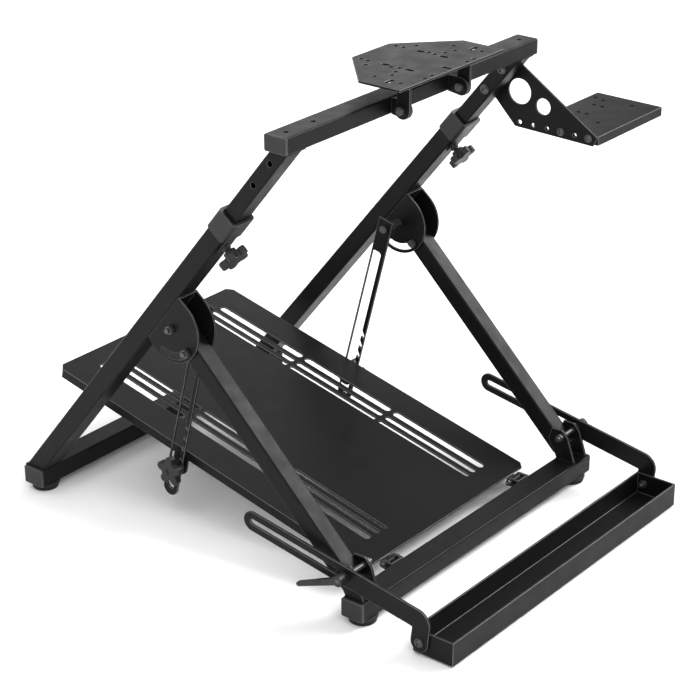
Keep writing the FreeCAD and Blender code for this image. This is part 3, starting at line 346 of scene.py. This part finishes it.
def moulded_plastic(name, colour):
    """Matte moulded plastic with a spark-eroded grain."""
    material, tree, shader = new_material(
        name, colour, tones=(0.85, 1.3), patches=(30.0, 2.0), roughness=(0.38, 0.5), flecks=(90.0, 3.0))
    shader.inputs["Specular IOR Level"].default_value = PLASTIC_GLOSS
    dimple(tree, shader, 1700.0, detail=1.0, depth=0.00005, strength=0.3)
    return material


def rubber(name, colour):
    """Dull rubber of the feet."""
    material, tree, shader = new_material(
        name, colour, tones=(0.75, 1.5), patches=(60.0, 4.0), roughness=(0.66, 0.85), flecks=(25.0, 3.0))
    shader.inputs["Specular IOR Level"].default_value = RUBBER_GLOSS
    dimple(tree, shader, 900.0, detail=2.0, depth=0.00008, strength=0.4)
    return material


def black_oxide(name, colour):
    """Blackened steel of bolts and nuts."""
    material, tree, shader = new_material(
        name, colour, tones=(0.7, 1.5), patches=(140.0, 4.0), roughness=(0.3, 0.48), flecks=(260.0, 3.0))
    shader.inputs["Metallic"].default_value = OXIDE_METAL
    dimple(tree, shader, 1200.0, detail=2.0, depth=0.00003, strength=0.25)
    return material


def finish(name):
    material = bpy.data.materials.get(name)
    if material is None:
        raise RuntimeError("the finish %s has not been made" % name)
    return material


def coat(name, *materials):
    """Give a piece of the frame its finish, and a second one for its rounded edges: lighter, as wear and a
    painted highlight.
    """
    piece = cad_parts[name]
    piece.data.materials.clear()
    for material in materials:
        piece.data.materials.append(material)
    return piece


# Node trees
def new_tree(name, shape, sizes=(), painted=True):
    """Node tree with an input for a mesh, one for each size and, where it paints, one for the finish."""
    tree = bpy.data.node_groups.new(name, "GeometryNodeTree")
    inputs = [(shape, "Geometry")] + [(size, "Float") for size in sizes]
    if painted:
        inputs.append(("Finish", "Material"))
    for label, kind in inputs:
        tree.interface.new_socket(label, in_out="INPUT", socket_type="NodeSocket" + kind)
    tree.interface.new_socket("Geometry", in_out="OUTPUT", socket_type="NodeSocketGeometry")
    return tree, tree.nodes.new("NodeGroupInput"), tree.nodes.new("NodeGroupOutput")


def smooth_tree():
    """Node tree that joins loose triangles and shades them smoothly."""
    tree = bpy.data.node_groups.get("joined_faces")
    if tree:
        return tree
    tree, start, stop = new_tree("joined_faces", "Geometry", painted=False)
    merge = add(tree, "GeometryNodeMergeByDistance", {"Geometry": start.outputs["Geometry"]},
                Distance=MERGE_GAP)
    smooth = add(tree, "GeometryNodeSetShadeSmooth", {"Geometry": merge.outputs["Geometry"]})
    tree.links.new(smooth.outputs["Geometry"], stop.inputs["Geometry"])
    return tree


def above(tree, value, limit):
    """Socket that gives 1 where a value is above a limit, and 0 elsewhere."""
    test = add(tree, "ShaderNodeMath", {0: value}, operation="GREATER_THAN")
    test.inputs[1].default_value = limit
    return test.outputs[0]


def long_edge_tree():
    """Node tree that marks the long outer edges of a sheet for rounding."""
    tree, start, stop = new_tree("long_edges", "Geometry", painted=False)
    bend = add(tree, "GeometryNodeInputMeshEdgeAngle")
    ends = add(tree, "GeometryNodeInputMeshEdgeVertices")
    span = add(tree, "ShaderNodeVectorMath", {
        0: ends.outputs["Position 1"], 1: ends.outputs["Position 2"]}, operation="DISTANCE")
    sharp = above(tree, bend.outputs["Signed Angle"], SHARP_ANGLE)
    far = above(tree, span.outputs["Value"], LONG_EDGE)
    both = add(tree, "ShaderNodeMath", {0: sharp, 1: far}, operation="MULTIPLY")
    mark = add(tree, "GeometryNodeStoreNamedAttribute", {
        "Geometry": start.outputs["Geometry"], "Value": both.outputs[0]},
        data_type="FLOAT", domain="EDGE", Name="bevel_weight_edge")
    tree.links.new(mark.outputs["Geometry"], stop.inputs["Geometry"])
    return tree


def scaled(tree, size, factor, rest=None):
    """Socket that gives a size times a factor, plus another size."""
    made = add(tree, "ShaderNodeMath", {0: size}, operation="MULTIPLY_ADD")
    made.inputs[1].default_value = factor
    made.inputs[2].default_value = 0.0
    if rest:
        tree.links.new(rest, made.inputs[2])
    return made.outputs[0]


def raised(tree, solid, height):
    lift = add(tree, "ShaderNodeCombineXYZ", {"Z": height})
    move = add(tree, "GeometryNodeTransform", {"Geometry": solid, "Translation": lift.outputs[0]})
    return move.outputs["Geometry"]


def cone(tree, corners, low_radius, high_radius, depth, base=None):
    """Cone or prism that stands on a height."""
    solid = add(tree, "GeometryNodeMeshCone", {
        "Radius Bottom": low_radius, "Radius Top": high_radius, "Depth": depth}, Vertices=corners)
    return raised(tree, solid.outputs["Mesh"], base) if base else solid.outputs["Mesh"]


def joined(tree, *solids):
    made = add(tree, "GeometryNodeJoinGeometry")
    for solid in solids:
        tree.links.new(solid, made.inputs["Geometry"])
    return made.outputs["Geometry"]


def finished(tree, start, stop, instances):
    """End of each tree: real meshes with their finish."""
    real = add(tree, "GeometryNodeRealizeInstances", {"Geometry": instances})
    paint = add(tree, "GeometryNodeSetMaterial", {
        "Geometry": real.outputs["Geometry"], "Material": start.outputs["Finish"]})
    tree.links.new(paint.outputs["Geometry"], stop.inputs["Geometry"])


def set_on_places(tree, start, stop, solid):
    """One copy of a solid on every point, turned outward and sized by the point's attributes."""
    way = add(tree, "GeometryNodeInputNamedAttribute", data_type="FLOAT_VECTOR", Name="outward")
    grow = add(tree, "GeometryNodeInputNamedAttribute", data_type="FLOAT", Name="size")
    turn = add(tree, "FunctionNodeAlignRotationToVector", {"Vector": way.outputs["Attribute"]}, axis="Z")
    spots = add(tree, "GeometryNodeInstanceOnPoints", {
        "Points": start.outputs["Places"], "Instance": solid, "Rotation": turn.outputs["Rotation"],
        "Scale": grow.outputs["Attribute"]})
    finished(tree, start, stop, spots.outputs["Instances"])


def screw_tree():
    """Button-head screw with a hexagon socket and a washer."""
    tree, start, stop = new_tree("button_screws", "Places", (
        "Head Radius", "Head Height", "Socket Radius", "Washer Radius", "Washer Height"))
    size = start.outputs
    washer = cone(tree, WASHER_SIDES, size["Washer Radius"], size["Washer Radius"], size["Washer Height"])
    crown = scaled(tree, size["Head Radius"], CROWN_SHARE)
    head = cone(tree, HEAD_SIDES, size["Head Radius"], crown, size["Head Height"], size["Washer Height"])
    floor = scaled(tree, size["Head Height"], SOCKET_FLOOR, size["Washer Height"])
    socket = cone(tree, HEXAGON, size["Socket Radius"], size["Socket Radius"], size["Head Height"], floor)
    cut = add(tree, "GeometryNodeMeshBoolean", {"Mesh 1": head, "Mesh 2": socket}, operation="DIFFERENCE")
    set_on_places(tree, start, stop, joined(tree, cut.outputs["Mesh"], washer))
    return tree


def nut_tree():
    """Hexagon nut on a washer, with the screw's threaded end standing out."""
    tree, start, stop = new_tree("hexagon_nuts", "Places", (
        "Nut Radius", "Nut Height", "Thread Radius", "Thread Pitch", "Washer Radius", "Washer Height"))
    size = start.outputs
    washer = cone(tree, WASHER_SIDES, size["Washer Radius"], size["Washer Radius"], size["Washer Height"])
    nut = cone(tree, HEXAGON, size["Nut Radius"], size["Nut Radius"], size["Nut Height"],
               size["Washer Height"])
    root = scaled(tree, size["Thread Radius"], THREAD_ROOT)
    ridge = cone(tree, THREAD_SIDES, size["Thread Radius"], root, size["Thread Pitch"])
    step = add(tree, "ShaderNodeCombineXYZ", {"Z": size["Thread Pitch"]})
    top = scaled(tree, size["Nut Height"], 1.0, size["Washer Height"])
    base = add(tree, "ShaderNodeCombineXYZ", {"Z": top})
    turns = add(tree, "GeometryNodeMeshLine", {
        "Start Location": base.outputs[0], "Offset": step.outputs[0]}, Count=THREAD_TURNS)
    thread = add(tree, "GeometryNodeInstanceOnPoints", {"Points": turns.outputs["Mesh"], "Instance": ridge})
    set_on_places(tree, start, stop, joined(tree, nut, washer, thread.outputs["Instances"]))
    return tree


def weld_tree():
    """Ripples of a weld bead, laid along seams."""
    tree, start, stop = new_tree("weld_ripples", "Seams", ("Bead Radius", "Ripple Pitch"))
    seam = add(tree, "GeometryNodeMeshToCurve", {"Mesh": start.outputs["Seams"]})
    even = add(tree, "GeometryNodeResampleCurve", {
        "Curve": seam.outputs["Curve"], "Length": start.outputs["Ripple Pitch"]}, mode="LENGTH")
    along = add(tree, "GeometryNodeInputTangent")
    turn = add(tree, "FunctionNodeAlignRotationToVector", {"Vector": along.outputs[0]}, axis="Z")
    drop = add(tree, "GeometryNodeMeshUVSphere", {"Radius": start.outputs["Bead Radius"]},
               Segments=RIPPLE_SIDES, Rings=RIPPLE_RINGS)
    flat = add(tree, "GeometryNodeTransform", {"Geometry": drop.outputs["Mesh"]}, Scale=RIPPLE_SQUASH)
    uneven = add(tree, "FunctionNodeRandomValue", data_type="FLOAT", Seed=RIPPLE_SEED)
    # lowest and highest of a random number
    for key, share in zip((2, 3), RIPPLE_SIZES):
        uneven.inputs[key].default_value = share
    spots = add(tree, "GeometryNodeInstanceOnPoints", {
        "Points": even.outputs["Curve"], "Instance": flat.outputs["Geometry"],
        "Rotation": turn.outputs["Rotation"], "Scale": uneven.outputs[1]})
    finished(tree, start, stop, spots.outputs["Instances"])
    return tree


# Rounded edges and smooth faces
def even_shading(piece):
    """Let the large faces rule the shading, so that flat ones look flat."""
    normals = piece.modifiers.new("even_shading", "WEIGHTED_NORMAL")
    normals.weight = FACE_WEIGHT
    normals.thresh = ALIKE


def round_edges(piece, width, segments=EDGE_STEPS, even=True, long_only=False):
    """Soft edges that catch the light, made by modifiers so that the mesh itself stays."""
    join = piece.modifiers.new("joined_faces", "NODES")
    join.node_group = smooth_tree()
    flat = piece.modifiers.new("flat_faces", "DECIMATE")
    flat.decimate_type = "DISSOLVE"
    flat.angle_limit = FLAT_ANGLE
    if long_only:
        choice = piece.modifiers.new("long_edges", "NODES")
        choice.node_group = long_edge_tree()
    bevel = piece.modifiers.new("soft_edges", "BEVEL")
    bevel.width = width
    bevel.segments = segments
    bevel.limit_method = "WEIGHT" if long_only else "ANGLE"
    bevel.angle_limit = SHARP_ANGLE
    bevel.loop_slide = False
    bevel.use_clamp_overlap = not even
    # rounded faces take the last finish: on coated pieces, the lighter edge colour of wear and painted
    # highlight
    bevel.material = len(piece.data.materials) - 1
    even_shading(piece)


def smooth_faces(piece):
    for face in piece.data.polygons:
        face.use_smooth = True


# Meshes
def new_piece(name, shell, body, material):
    """Object made from a bmesh, riding on a body of the stand."""
    bmesh.ops.recalc_face_normals(shell, faces=shell.faces)
    mesh = bpy.data.meshes.new(name)
    shell.to_mesh(mesh)
    shell.free()
    mesh.materials.append(material)
    piece = bpy.data.objects.new(name, mesh)
    bpy.context.scene.collection.objects.link(piece)
    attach(piece, body)
    return piece


def lathe(shell, profile, sides, matrix):
    """Turn a profile of (radius, height) points round the local Z axis."""
    turns = [2 * math.pi * i / sides for i in range(sides)]
    rings = []
    for radius, height in profile:
        points = [Vector((radius * math.cos(turn), radius * math.sin(turn), height)) for turn in turns]
        if not radius:
            points = points[:1]
        rings.append([shell.verts.new(matrix @ point) for point in points])
    for lower, upper in zip(rings, rings[1:]):
        for i in range(sides):
            corners = [lower[i % len(lower)], lower[(i + 1) % len(lower)],
                       upper[(i + 1) % len(upper)], upper[i % len(upper)]]
            loop = list(dict.fromkeys(corners))
            if len(loop) > 2:
                shell.faces.new(loop)


def set_inputs(modifier, values):
    """Set a node modifier's inputs by their sockets' identifiers."""
    for item in modifier.node_group.interface.items_tree:
        if item.item_type == "SOCKET" and item.in_out == "INPUT" and item.name in values:
            modifier[item.identifier] = values[item.name]


def baked(mesh, name, tree, values):
    """Plain mesh object that a node tree makes from a mesh of places or seams."""
    source = bpy.data.objects.new(name + "_source", mesh)
    bpy.context.scene.collection.objects.link(source)
    modifier = source.modifiers.new("nodes", "NODES")
    modifier.node_group = tree
    set_inputs(modifier, values)
    shot = source.evaluated_get(bpy.context.evaluated_depsgraph_get())
    result = bpy.data.meshes.new_from_object(shot)
    result.name = name
    bpy.data.objects.remove(source)
    if not result.polygons:
        raise RuntimeError("%s came out empty" % name)
    piece = bpy.data.objects.new(name, result)
    bpy.context.scene.collection.objects.link(piece)
    smooth_faces(piece)
    return piece


def fasten(name, body, tree, values, spots):
    """Fasteners of one kind on one body, at (point, outward direction, size)."""
    mesh = bpy.data.meshes.new(name + "_places")
    mesh.from_pydata([point for point, way, size in spots], [], [])
    mesh.attributes.new("outward", "FLOAT_VECTOR", "POINT")
    mesh.attributes.new("size", "FLOAT", "POINT")
    for i, (point, way, size) in enumerate(spots):
        mesh.attributes["outward"].data[i].vector = way
        mesh.attributes["size"].data[i].value = size
    piece = baked(mesh, name, tree, values)
    bevel = piece.modifiers.new("soft_edges", "BEVEL")
    bevel.width = SCREW_EDGE
    bevel.segments = EDGE_STEPS
    bevel.limit_method = "ANGLE"
    even_shading(piece)
    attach(piece, body)


# Operators
class STAND_OT_coat_steel(bpy.types.Operator):
    """Powder coat the tubes and sheet parts and soften their edges"""

    bl_idname = "stand.coat_steel"
    bl_label = "Coat Steel"

    def execute(self, context):
        look = context.scene.stand_finish
        tube_coat = powder_coat("tube_coat", look.steel_colour, look.coat_grain)
        sheet_tone = shade(look.steel_colour, SHEET_TONE)
        sheet_coat = powder_coat("sheet_coat", sheet_tone, look.coat_grain * SHEET_GRAIN)
        # edges of tubes and sheets in a lighter colour: wear and painted highlight
        edge = worn_edge_and_highlight("coat_edge_wear_and_highlight", look.edge_wear_and_highlight_colour)
        for name in TUBES:
            round_edges(coat(name, tube_coat, edge), look.tube_edge)
        for name in SHEETS:
            width = look.sheet_edge * FINE_EDGES.get(name, 1.0)
            round_edges(coat(name, sheet_coat, edge), width, long_only=name in CLOSE_HOLES)
        return {"FINISHED"}


class STAND_OT_dress_bolts(bpy.types.Operator):
    """Blacken the large bolts at the pivots"""

    bl_idname = "stand.dress_bolts"
    bl_label = "Dress Bolts"

    def execute(self, context):
        look = context.scene.stand_finish
        oxide = black_oxide("black_oxide", look.bolt_colour)
        for name in BOLTS:
            round_edges(coat(name, oxide), look.tube_edge, even=False)
        return {"FINISHED"}


class STAND_OT_dress_collars(bpy.types.Operator):
    """Finish the moulded collars at the top of the posts"""

    bl_idname = "stand.dress_collars"
    bl_label = "Dress Collars"

    def execute(self, context):
        look = context.scene.stand_finish
        plastic = moulded_plastic("moulded_plastic", look.plastic_colour)
        # edges of the collars in a lighter colour: wear and painted highlight
        edge = worn_edge_and_highlight("plastic_edge_wear_and_highlight", shade(look.edge_wear_and_highlight_colour, PLASTIC_EDGE_WEAR_AND_HIGHLIGHT))
        for name in COLLARS:
            round_edges(coat(name, plastic, edge), look.sheet_edge * COLLAR_EDGE)
        return {"FINISHED"}


class STAND_OT_end_caps(bpy.types.Operator):
    """Finish the plastic end caps of the three crossbars"""

    bl_idname = "stand.end_caps"
    bl_label = "End Caps"

    def execute(self, context):
        grips = context.scene.stand_grips
        for name in CAPS:
            # cap edges in the lighter plastic edge colour: wear and painted highlight
            cap = coat(name, finish("moulded_plastic"), finish("plastic_edge_wear_and_highlight"))
            round_edges(cap, grips.cap_round, MOULDED_STEPS)
        return {"FINISHED"}


class STAND_OT_rubber_feet(bpy.types.Operator):
    """Moulded rubber feet with grooves in place of the plain cones"""

    bl_idname = "stand.rubber_feet"
    bl_label = "Rubber Feet"

    def execute(self, context):
        soft = rubber("foot_rubber", context.scene.stand_finish.rubber_colour)
        rings = context.scene.stand_grips.foot_rings
        for end, body in (("far", "frame"), ("near", "legs")):
            low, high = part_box(end + "_feet")
            radius = (high.y - low.y) / 2
            tall = high.z - low.z
            shell = bmesh.new()
            for x in (low.x + radius, high.x - radius):
                self.foot(shell, Vector((x, (low.y + high.y) / 2, low.z)), radius, tall, rings)
            piece = new_piece(end + "_rubber_feet", shell, body, soft)
            smooth_faces(piece)
            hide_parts(end + "_feet")
        return {"FINISHED"}

    def foot(self, shell, base, radius, tall, rings):
        """Foot with a groove in its sole and rings round its side."""
        edge = radius * FOOT_EDGE
        inner, floor_in, floor_out, outer = (radius * share for share in SOLE_GROOVE)
        profile = [(0, 0), (inner, 0), (floor_in, SOLE_DEPTH), (floor_out, SOLE_DEPTH), (outer, 0)]
        profile += [(radius * share, edge * rise) for share, rise in SOLE_RIM]
        start, stop = (tall * share for share in RING_BAND)
        step = (stop - start) / rings
        for i in range(rings):
            wide = radius * (FOOT_WAIST + FOOT_FLARE * i / rings)
            deep = wide - radius * RING_DEPTH
            low = start + step * i
            heights = [low] + [low + step * share for share in RING_STEPS]
            profile += zip((wide, wide, deep, deep, wide), heights)
        profile += [(radius * FOOT_SHOULDER, stop), (radius, stop + edge), (radius, tall - edge),
                    (radius * FOOT_TOP, tall), (0, tall)]
        lathe(shell, profile, FOOT_SIDES, Matrix.Translation(base))


class STAND_OT_star_knobs(bpy.types.Operator):
    """Moulded finish and soft lobes for the four star knobs"""

    bl_idname = "stand.star_knobs"
    bl_label = "Star Knobs"

    def execute(self, context):
        grips = context.scene.stand_grips
        for name in KNOBS:
            round_edges(coat(name, finish("moulded_plastic")), grips.knob_round, MOULDED_STEPS)
        return {"FINISHED"}


class STAND_OT_clamp_levers(bpy.types.Operator):
    """Moulded finish for the clamp levers"""

    bl_idname = "stand.clamp_levers"
    bl_label = "Clamp Levers"

    def execute(self, context):
        width = context.scene.stand_grips.knob_round * LEVER_EDGE
        for name in LEVERS:
            round_edges(coat(name, finish("moulded_plastic")), width, MOULDED_STEPS, even=False)
        return {"FINISHED"}


class STAND_OT_fasteners(bpy.types.Operator):
    """Button-head screws and nuts that hold brackets, plates and the tray"""

    bl_idname = "stand.fasteners"
    bl_label = "Fasteners"

    def execute(self, context):
        sizes = context.scene.stand_fasteners
        washer = {"Washer Radius": sizes.washer_radius, "Washer Height": sizes.washer_height,
                  "Finish": finish("black_oxide")}
        screw = {"Head Radius": sizes.head_radius, "Head Height": sizes.head_height,
                 "Socket Radius": sizes.socket_radius, **washer}
        nut = {"Nut Radius": sizes.nut_radius, "Nut Height": sizes.nut_height,
               "Thread Radius": sizes.thread_radius, "Thread Pitch": sizes.thread_pitch, **washer}
        screws, nuts = screw_tree(), nut_tree()
        for body, pairs in self.places().items():
            heads = [(head, way, size) for head, tail, way, size in pairs]
            tails = [(tail, tuple(-part for part in way), size) for head, tail, way, size in pairs]
            fasten(body + "_screws", body, screws, screw, heads)
            fasten(body + "_nuts", body, nuts, nut, tails)
        return {"FINISHED"}

    def places(self):
        """Screws by body: (head, tail, outward direction of the head, size)."""
        pairs = {"mast": [], "legs": [], "tray": []}
        bracket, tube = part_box("shifter_bracket"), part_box("inner_tube_right")
        for y, z in self.tube_holes():
            pairs["mast"].append(((tube[0].x, y, z), (bracket[1].x, y, z), (-1, 0, 0), BRACKET_SCREW))
        lip = bracket[1].x + LIP_SHEET
        for step in ROW_BOLTS:
            y, z = bracket[0].y + ROW_START + step * ROW_PITCH, bracket[0].z + ROW_LIFT
            pairs["mast"].append(((bracket[0].x, y, z), (lip, y, z), (-1, 0, 0), ROW_SCREW))
        low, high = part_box("pedal_clevises")
        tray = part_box("castor_tray")
        for side, sign in SIDES.items():
            outer, inner = high.x * sign, (high.x - CLEVIS_SPAN) * sign
            y, z = low.y + CLEVIS_REACH, (low.z + high.z) / 2
            pairs["legs"].append(((outer, y, z), (inner, y, z), (sign, 0, 0), CLEVIS_SCREW))
            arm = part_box("arm_" + side)
            face = arm[1].x if sign > 0 else arm[0].x
            inside = (tray[1].x - TRAY_SHEET) * sign
            y, z = arm[0].y + ARM_END[0], arm[0].z + ARM_END[1]
            pairs["tray"].append(((face, y, z), (inside, y, z), (sign, 0, 0), ARM_SCREW))
        return pairs

    def tube_holes(self):
        """The two holes of the inner tube that carry the shifter bracket."""
        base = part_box("far_crossbar")
        y, z = (base[0].y + base[1].y) / 2, base[1].z
        return [(y - s * math.sin(POST_LEAN), z + s * math.cos(POST_LEAN)) for s in TUBE_HOLES]


class STAND_OT_welds(bpy.types.Operator):
    """Weld beads where the posts, tubes and ears meet the crossbars"""

    bl_idname = "stand.welds"
    bl_label = "Welds"

    def execute(self, context):
        sizes = context.scene.stand_fasteners
        values = {"Bead Radius": sizes.weld_radius, "Ripple Pitch": sizes.weld_pitch,
                  "Finish": finish("tube_coat")}
        tree = weld_tree()
        seams = {"frame": [self.tube_end("post_" + side, 0) for side in SIDES],
                 "mast": [self.tube_end("inner_tube_" + side, 1) for side in SIDES],
                 "legs": self.ears()}
        for body, loops in seams.items():
            points, edges = [], []
            for loop, closed in loops:
                first = len(points)
                points += loop
                edges += [(first + i, first + i + 1) for i in range(len(loop) - 1)]
                if closed:
                    edges.append((first + len(loop) - 1, first))
            mesh = bpy.data.meshes.new(body + "_seams")
            mesh.from_pydata(points, edges, [])
            piece = baked(mesh, body + "_welds", tree, values)
            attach(piece, body)
        return {"FINISHED"}

    def corners_at(self, name, level):
        """Points of a piece that lie at one height."""
        points = [vertex.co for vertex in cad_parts[name].data.vertices]
        return [point for point in points if abs(point.z - level) < SEAM_REACH]

    def tube_end(self, name, end):
        """Outline of a leaning tube where it meets a crossbar at its lower (0) or upper (1) end."""
        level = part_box(name)[end].z
        spots = self.corners_at(name, level)
        x0, x1 = min(spot.x for spot in spots), max(spot.x for spot in spots)
        y0, y1 = min(spot.y for spot in spots), max(spot.y for spot in spots)
        return [(x0, y0, level), (x1, y0, level), (x1, y1, level), (x0, y1, level)], True

    def ears(self):
        """Both sides of the ears' feet on the near crossbar, to a tenth of a millimetre."""
        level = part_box("brace_brackets")[0].z
        spots = self.corners_at("brace_brackets", level)
        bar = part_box("near_crossbar")
        y0 = max(min(spot.y for spot in spots), bar[0].y)
        y1 = min(max(spot.y for spot in spots), bar[1].y)
        faces = sorted({round(spot.x, 4) for spot in spots})
        return [([(x, y0, level), (x, y1, level)], False) for x in faces]


class STAND_OT_studio(bpy.types.Operator):
    """Pale floor, soft lights and the camera"""

    bl_idname = "stand.studio"
    bl_label = "Studio"

    def execute(self, context):
        stage = context.scene.stand_stage
        self.floor(context.scene, stage)
        self.sky(context.scene, stage)
        self.lights(stage)
        self.camera(context.scene, stage)
        return {"FINISHED"}

    def floor(self, scene, stage):
        shell = bmesh.new()
        bmesh.ops.create_grid(shell, x_segments=FLOOR_PARTS, y_segments=FLOOR_PARTS, size=FLOOR_SIZE)
        mesh = bpy.data.meshes.new("studio_floor")
        shell.to_mesh(mesh)
        shell.free()
        floor = bpy.data.objects.new("studio_floor", mesh)
        scene.collection.objects.link(floor)
        material = new_material(
            "pale_floor", stage.floor_colour, tones=(0.99, 1.0), patches=(3.0, 2.0), roughness=(0.75, 0.85),
            flecks=(12.0, 2.0))[0]
        mesh.materials.append(material)

    def sky(self, scene, stage):
        """Light that is pale round the horizon, where the floor ends, and dimmer above."""
        world = bpy.data.worlds.new("studio_sky")
        scene.world = world
        world.use_nodes = True
        tree = world.node_tree
        background = tree.nodes["Background"]
        background.inputs["Color"].default_value = (1, 1, 1, 1)
        way = add(tree, "ShaderNodeTexCoord")
        height = add(tree, "ShaderNodeSeparateXYZ", {"Vector": way.outputs["Generated"]})
        glow = spread(tree, height.outputs["Z"], (stage.horizon, stage.sky), GLOW_BAND)
        tree.links.new(glow, background.inputs["Strength"])

    def lights(self, stage):
        self.wide_light("ceiling_light", (0, 0, 1), stage.ceiling, stage.ceiling_spread)
        self.wide_light("side_light", stage.side_way, stage.side, stage.side_spread)
        self.wide_light("fill_light", stage.fill_way, stage.fill, stage.fill_spread)
        self.softbox("back_softbox", stage.back_power)

    def wide_light(self, name, way, strength, angle):
        """Even light from one side, as from a large softbox far away."""
        light = bpy.data.lights.new(name, "SUN")
        light.energy = strength
        light.angle = angle
        self.hang(light, Vector(way) * LAMP_REACH, Vector(way).to_track_quat("Z", "Y"))

    def softbox(self, name, power):
        light = bpy.data.lights.new(name, "AREA")
        light.shape = "SQUARE"
        light.size = BACK_SIZE
        light.energy = power
        way = Vector(BACK_TARGET) - Vector(BACK_PLACE)
        self.hang(light, BACK_PLACE, way.to_track_quat("-Z", "Y"))

    def hang(self, light, place, turn):
        lamp = bpy.data.objects.new(light.name, light)
        lamp.location = place
        lamp.rotation_euler = turn.to_euler()
        bpy.context.scene.collection.objects.link(lamp)

    def camera(self, scene, stage):
        data = bpy.data.cameras.new("photo_camera")
        data.lens = stage.lens
        data.sensor_width = SENSOR_WIDTH
        data.clip_end = VIEW_DEPTH
        camera = bpy.data.objects.new("photo_camera", data)
        place, target = Vector(stage.camera_place), Vector(stage.camera_target)
        camera.location = place
        camera.rotation_euler = (target - place).to_track_quat("-Z", "Y").to_euler()
        scene.collection.objects.link(camera)
        scene.camera = camera
        scene.view_settings.view_transform = "Standard"


class STAND_PT_panel(bpy.types.Panel):
    """Stand tools in the sidebar"""

    bl_label = "Wheel Stand"
    bl_idname = "STAND_PT_panel"
    bl_space_type = "VIEW_3D"
    bl_region_type = "UI"
    bl_category = "Stand"

    def draw(self, context):
        for operator in OPERATORS:
            self.layout.operator(operator.bl_idname)
        for group, name in GROUPS.items():
            for prop in group.__annotations__:
                self.layout.prop(getattr(context.scene, name), prop)


GROUPS = {StandFinish: "stand_finish", StandFasteners: "stand_fasteners", StandGrips: "stand_grips",
          StandStage: "stand_stage"}
OPERATORS = [STAND_OT_coat_steel, STAND_OT_dress_bolts, STAND_OT_dress_collars, STAND_OT_end_caps,
             STAND_OT_rubber_feet, STAND_OT_star_knobs, STAND_OT_clamp_levers, STAND_OT_fasteners,
             STAND_OT_welds, STAND_OT_studio]


def register():
    for item in (*GROUPS, *OPERATORS, STAND_PT_panel):
        bpy.utils.register_class(item)
    for group, name in GROUPS.items():
        setattr(bpy.types.Scene, name, bpy.props.PointerProperty(type=group))


def unregister():
    for name in GROUPS.values():
        delattr(bpy.types.Scene, name)
    for item in reversed((*GROUPS, *OPERATORS, STAND_PT_panel)):
        bpy.utils.unregister_class(item)


def main():
    register()
    bpy.ops.stand.coat_steel()
    bpy.ops.stand.dress_bolts()
    bpy.ops.stand.dress_collars()
    bpy.ops.stand.end_caps()
    bpy.ops.stand.rubber_feet()
    bpy.ops.stand.star_knobs()
    bpy.ops.stand.clamp_levers()
    bpy.ops.stand.fasteners()
    bpy.ops.stand.welds()
    bpy.ops.stand.studio()


if __name__ == "__main__":
    main()
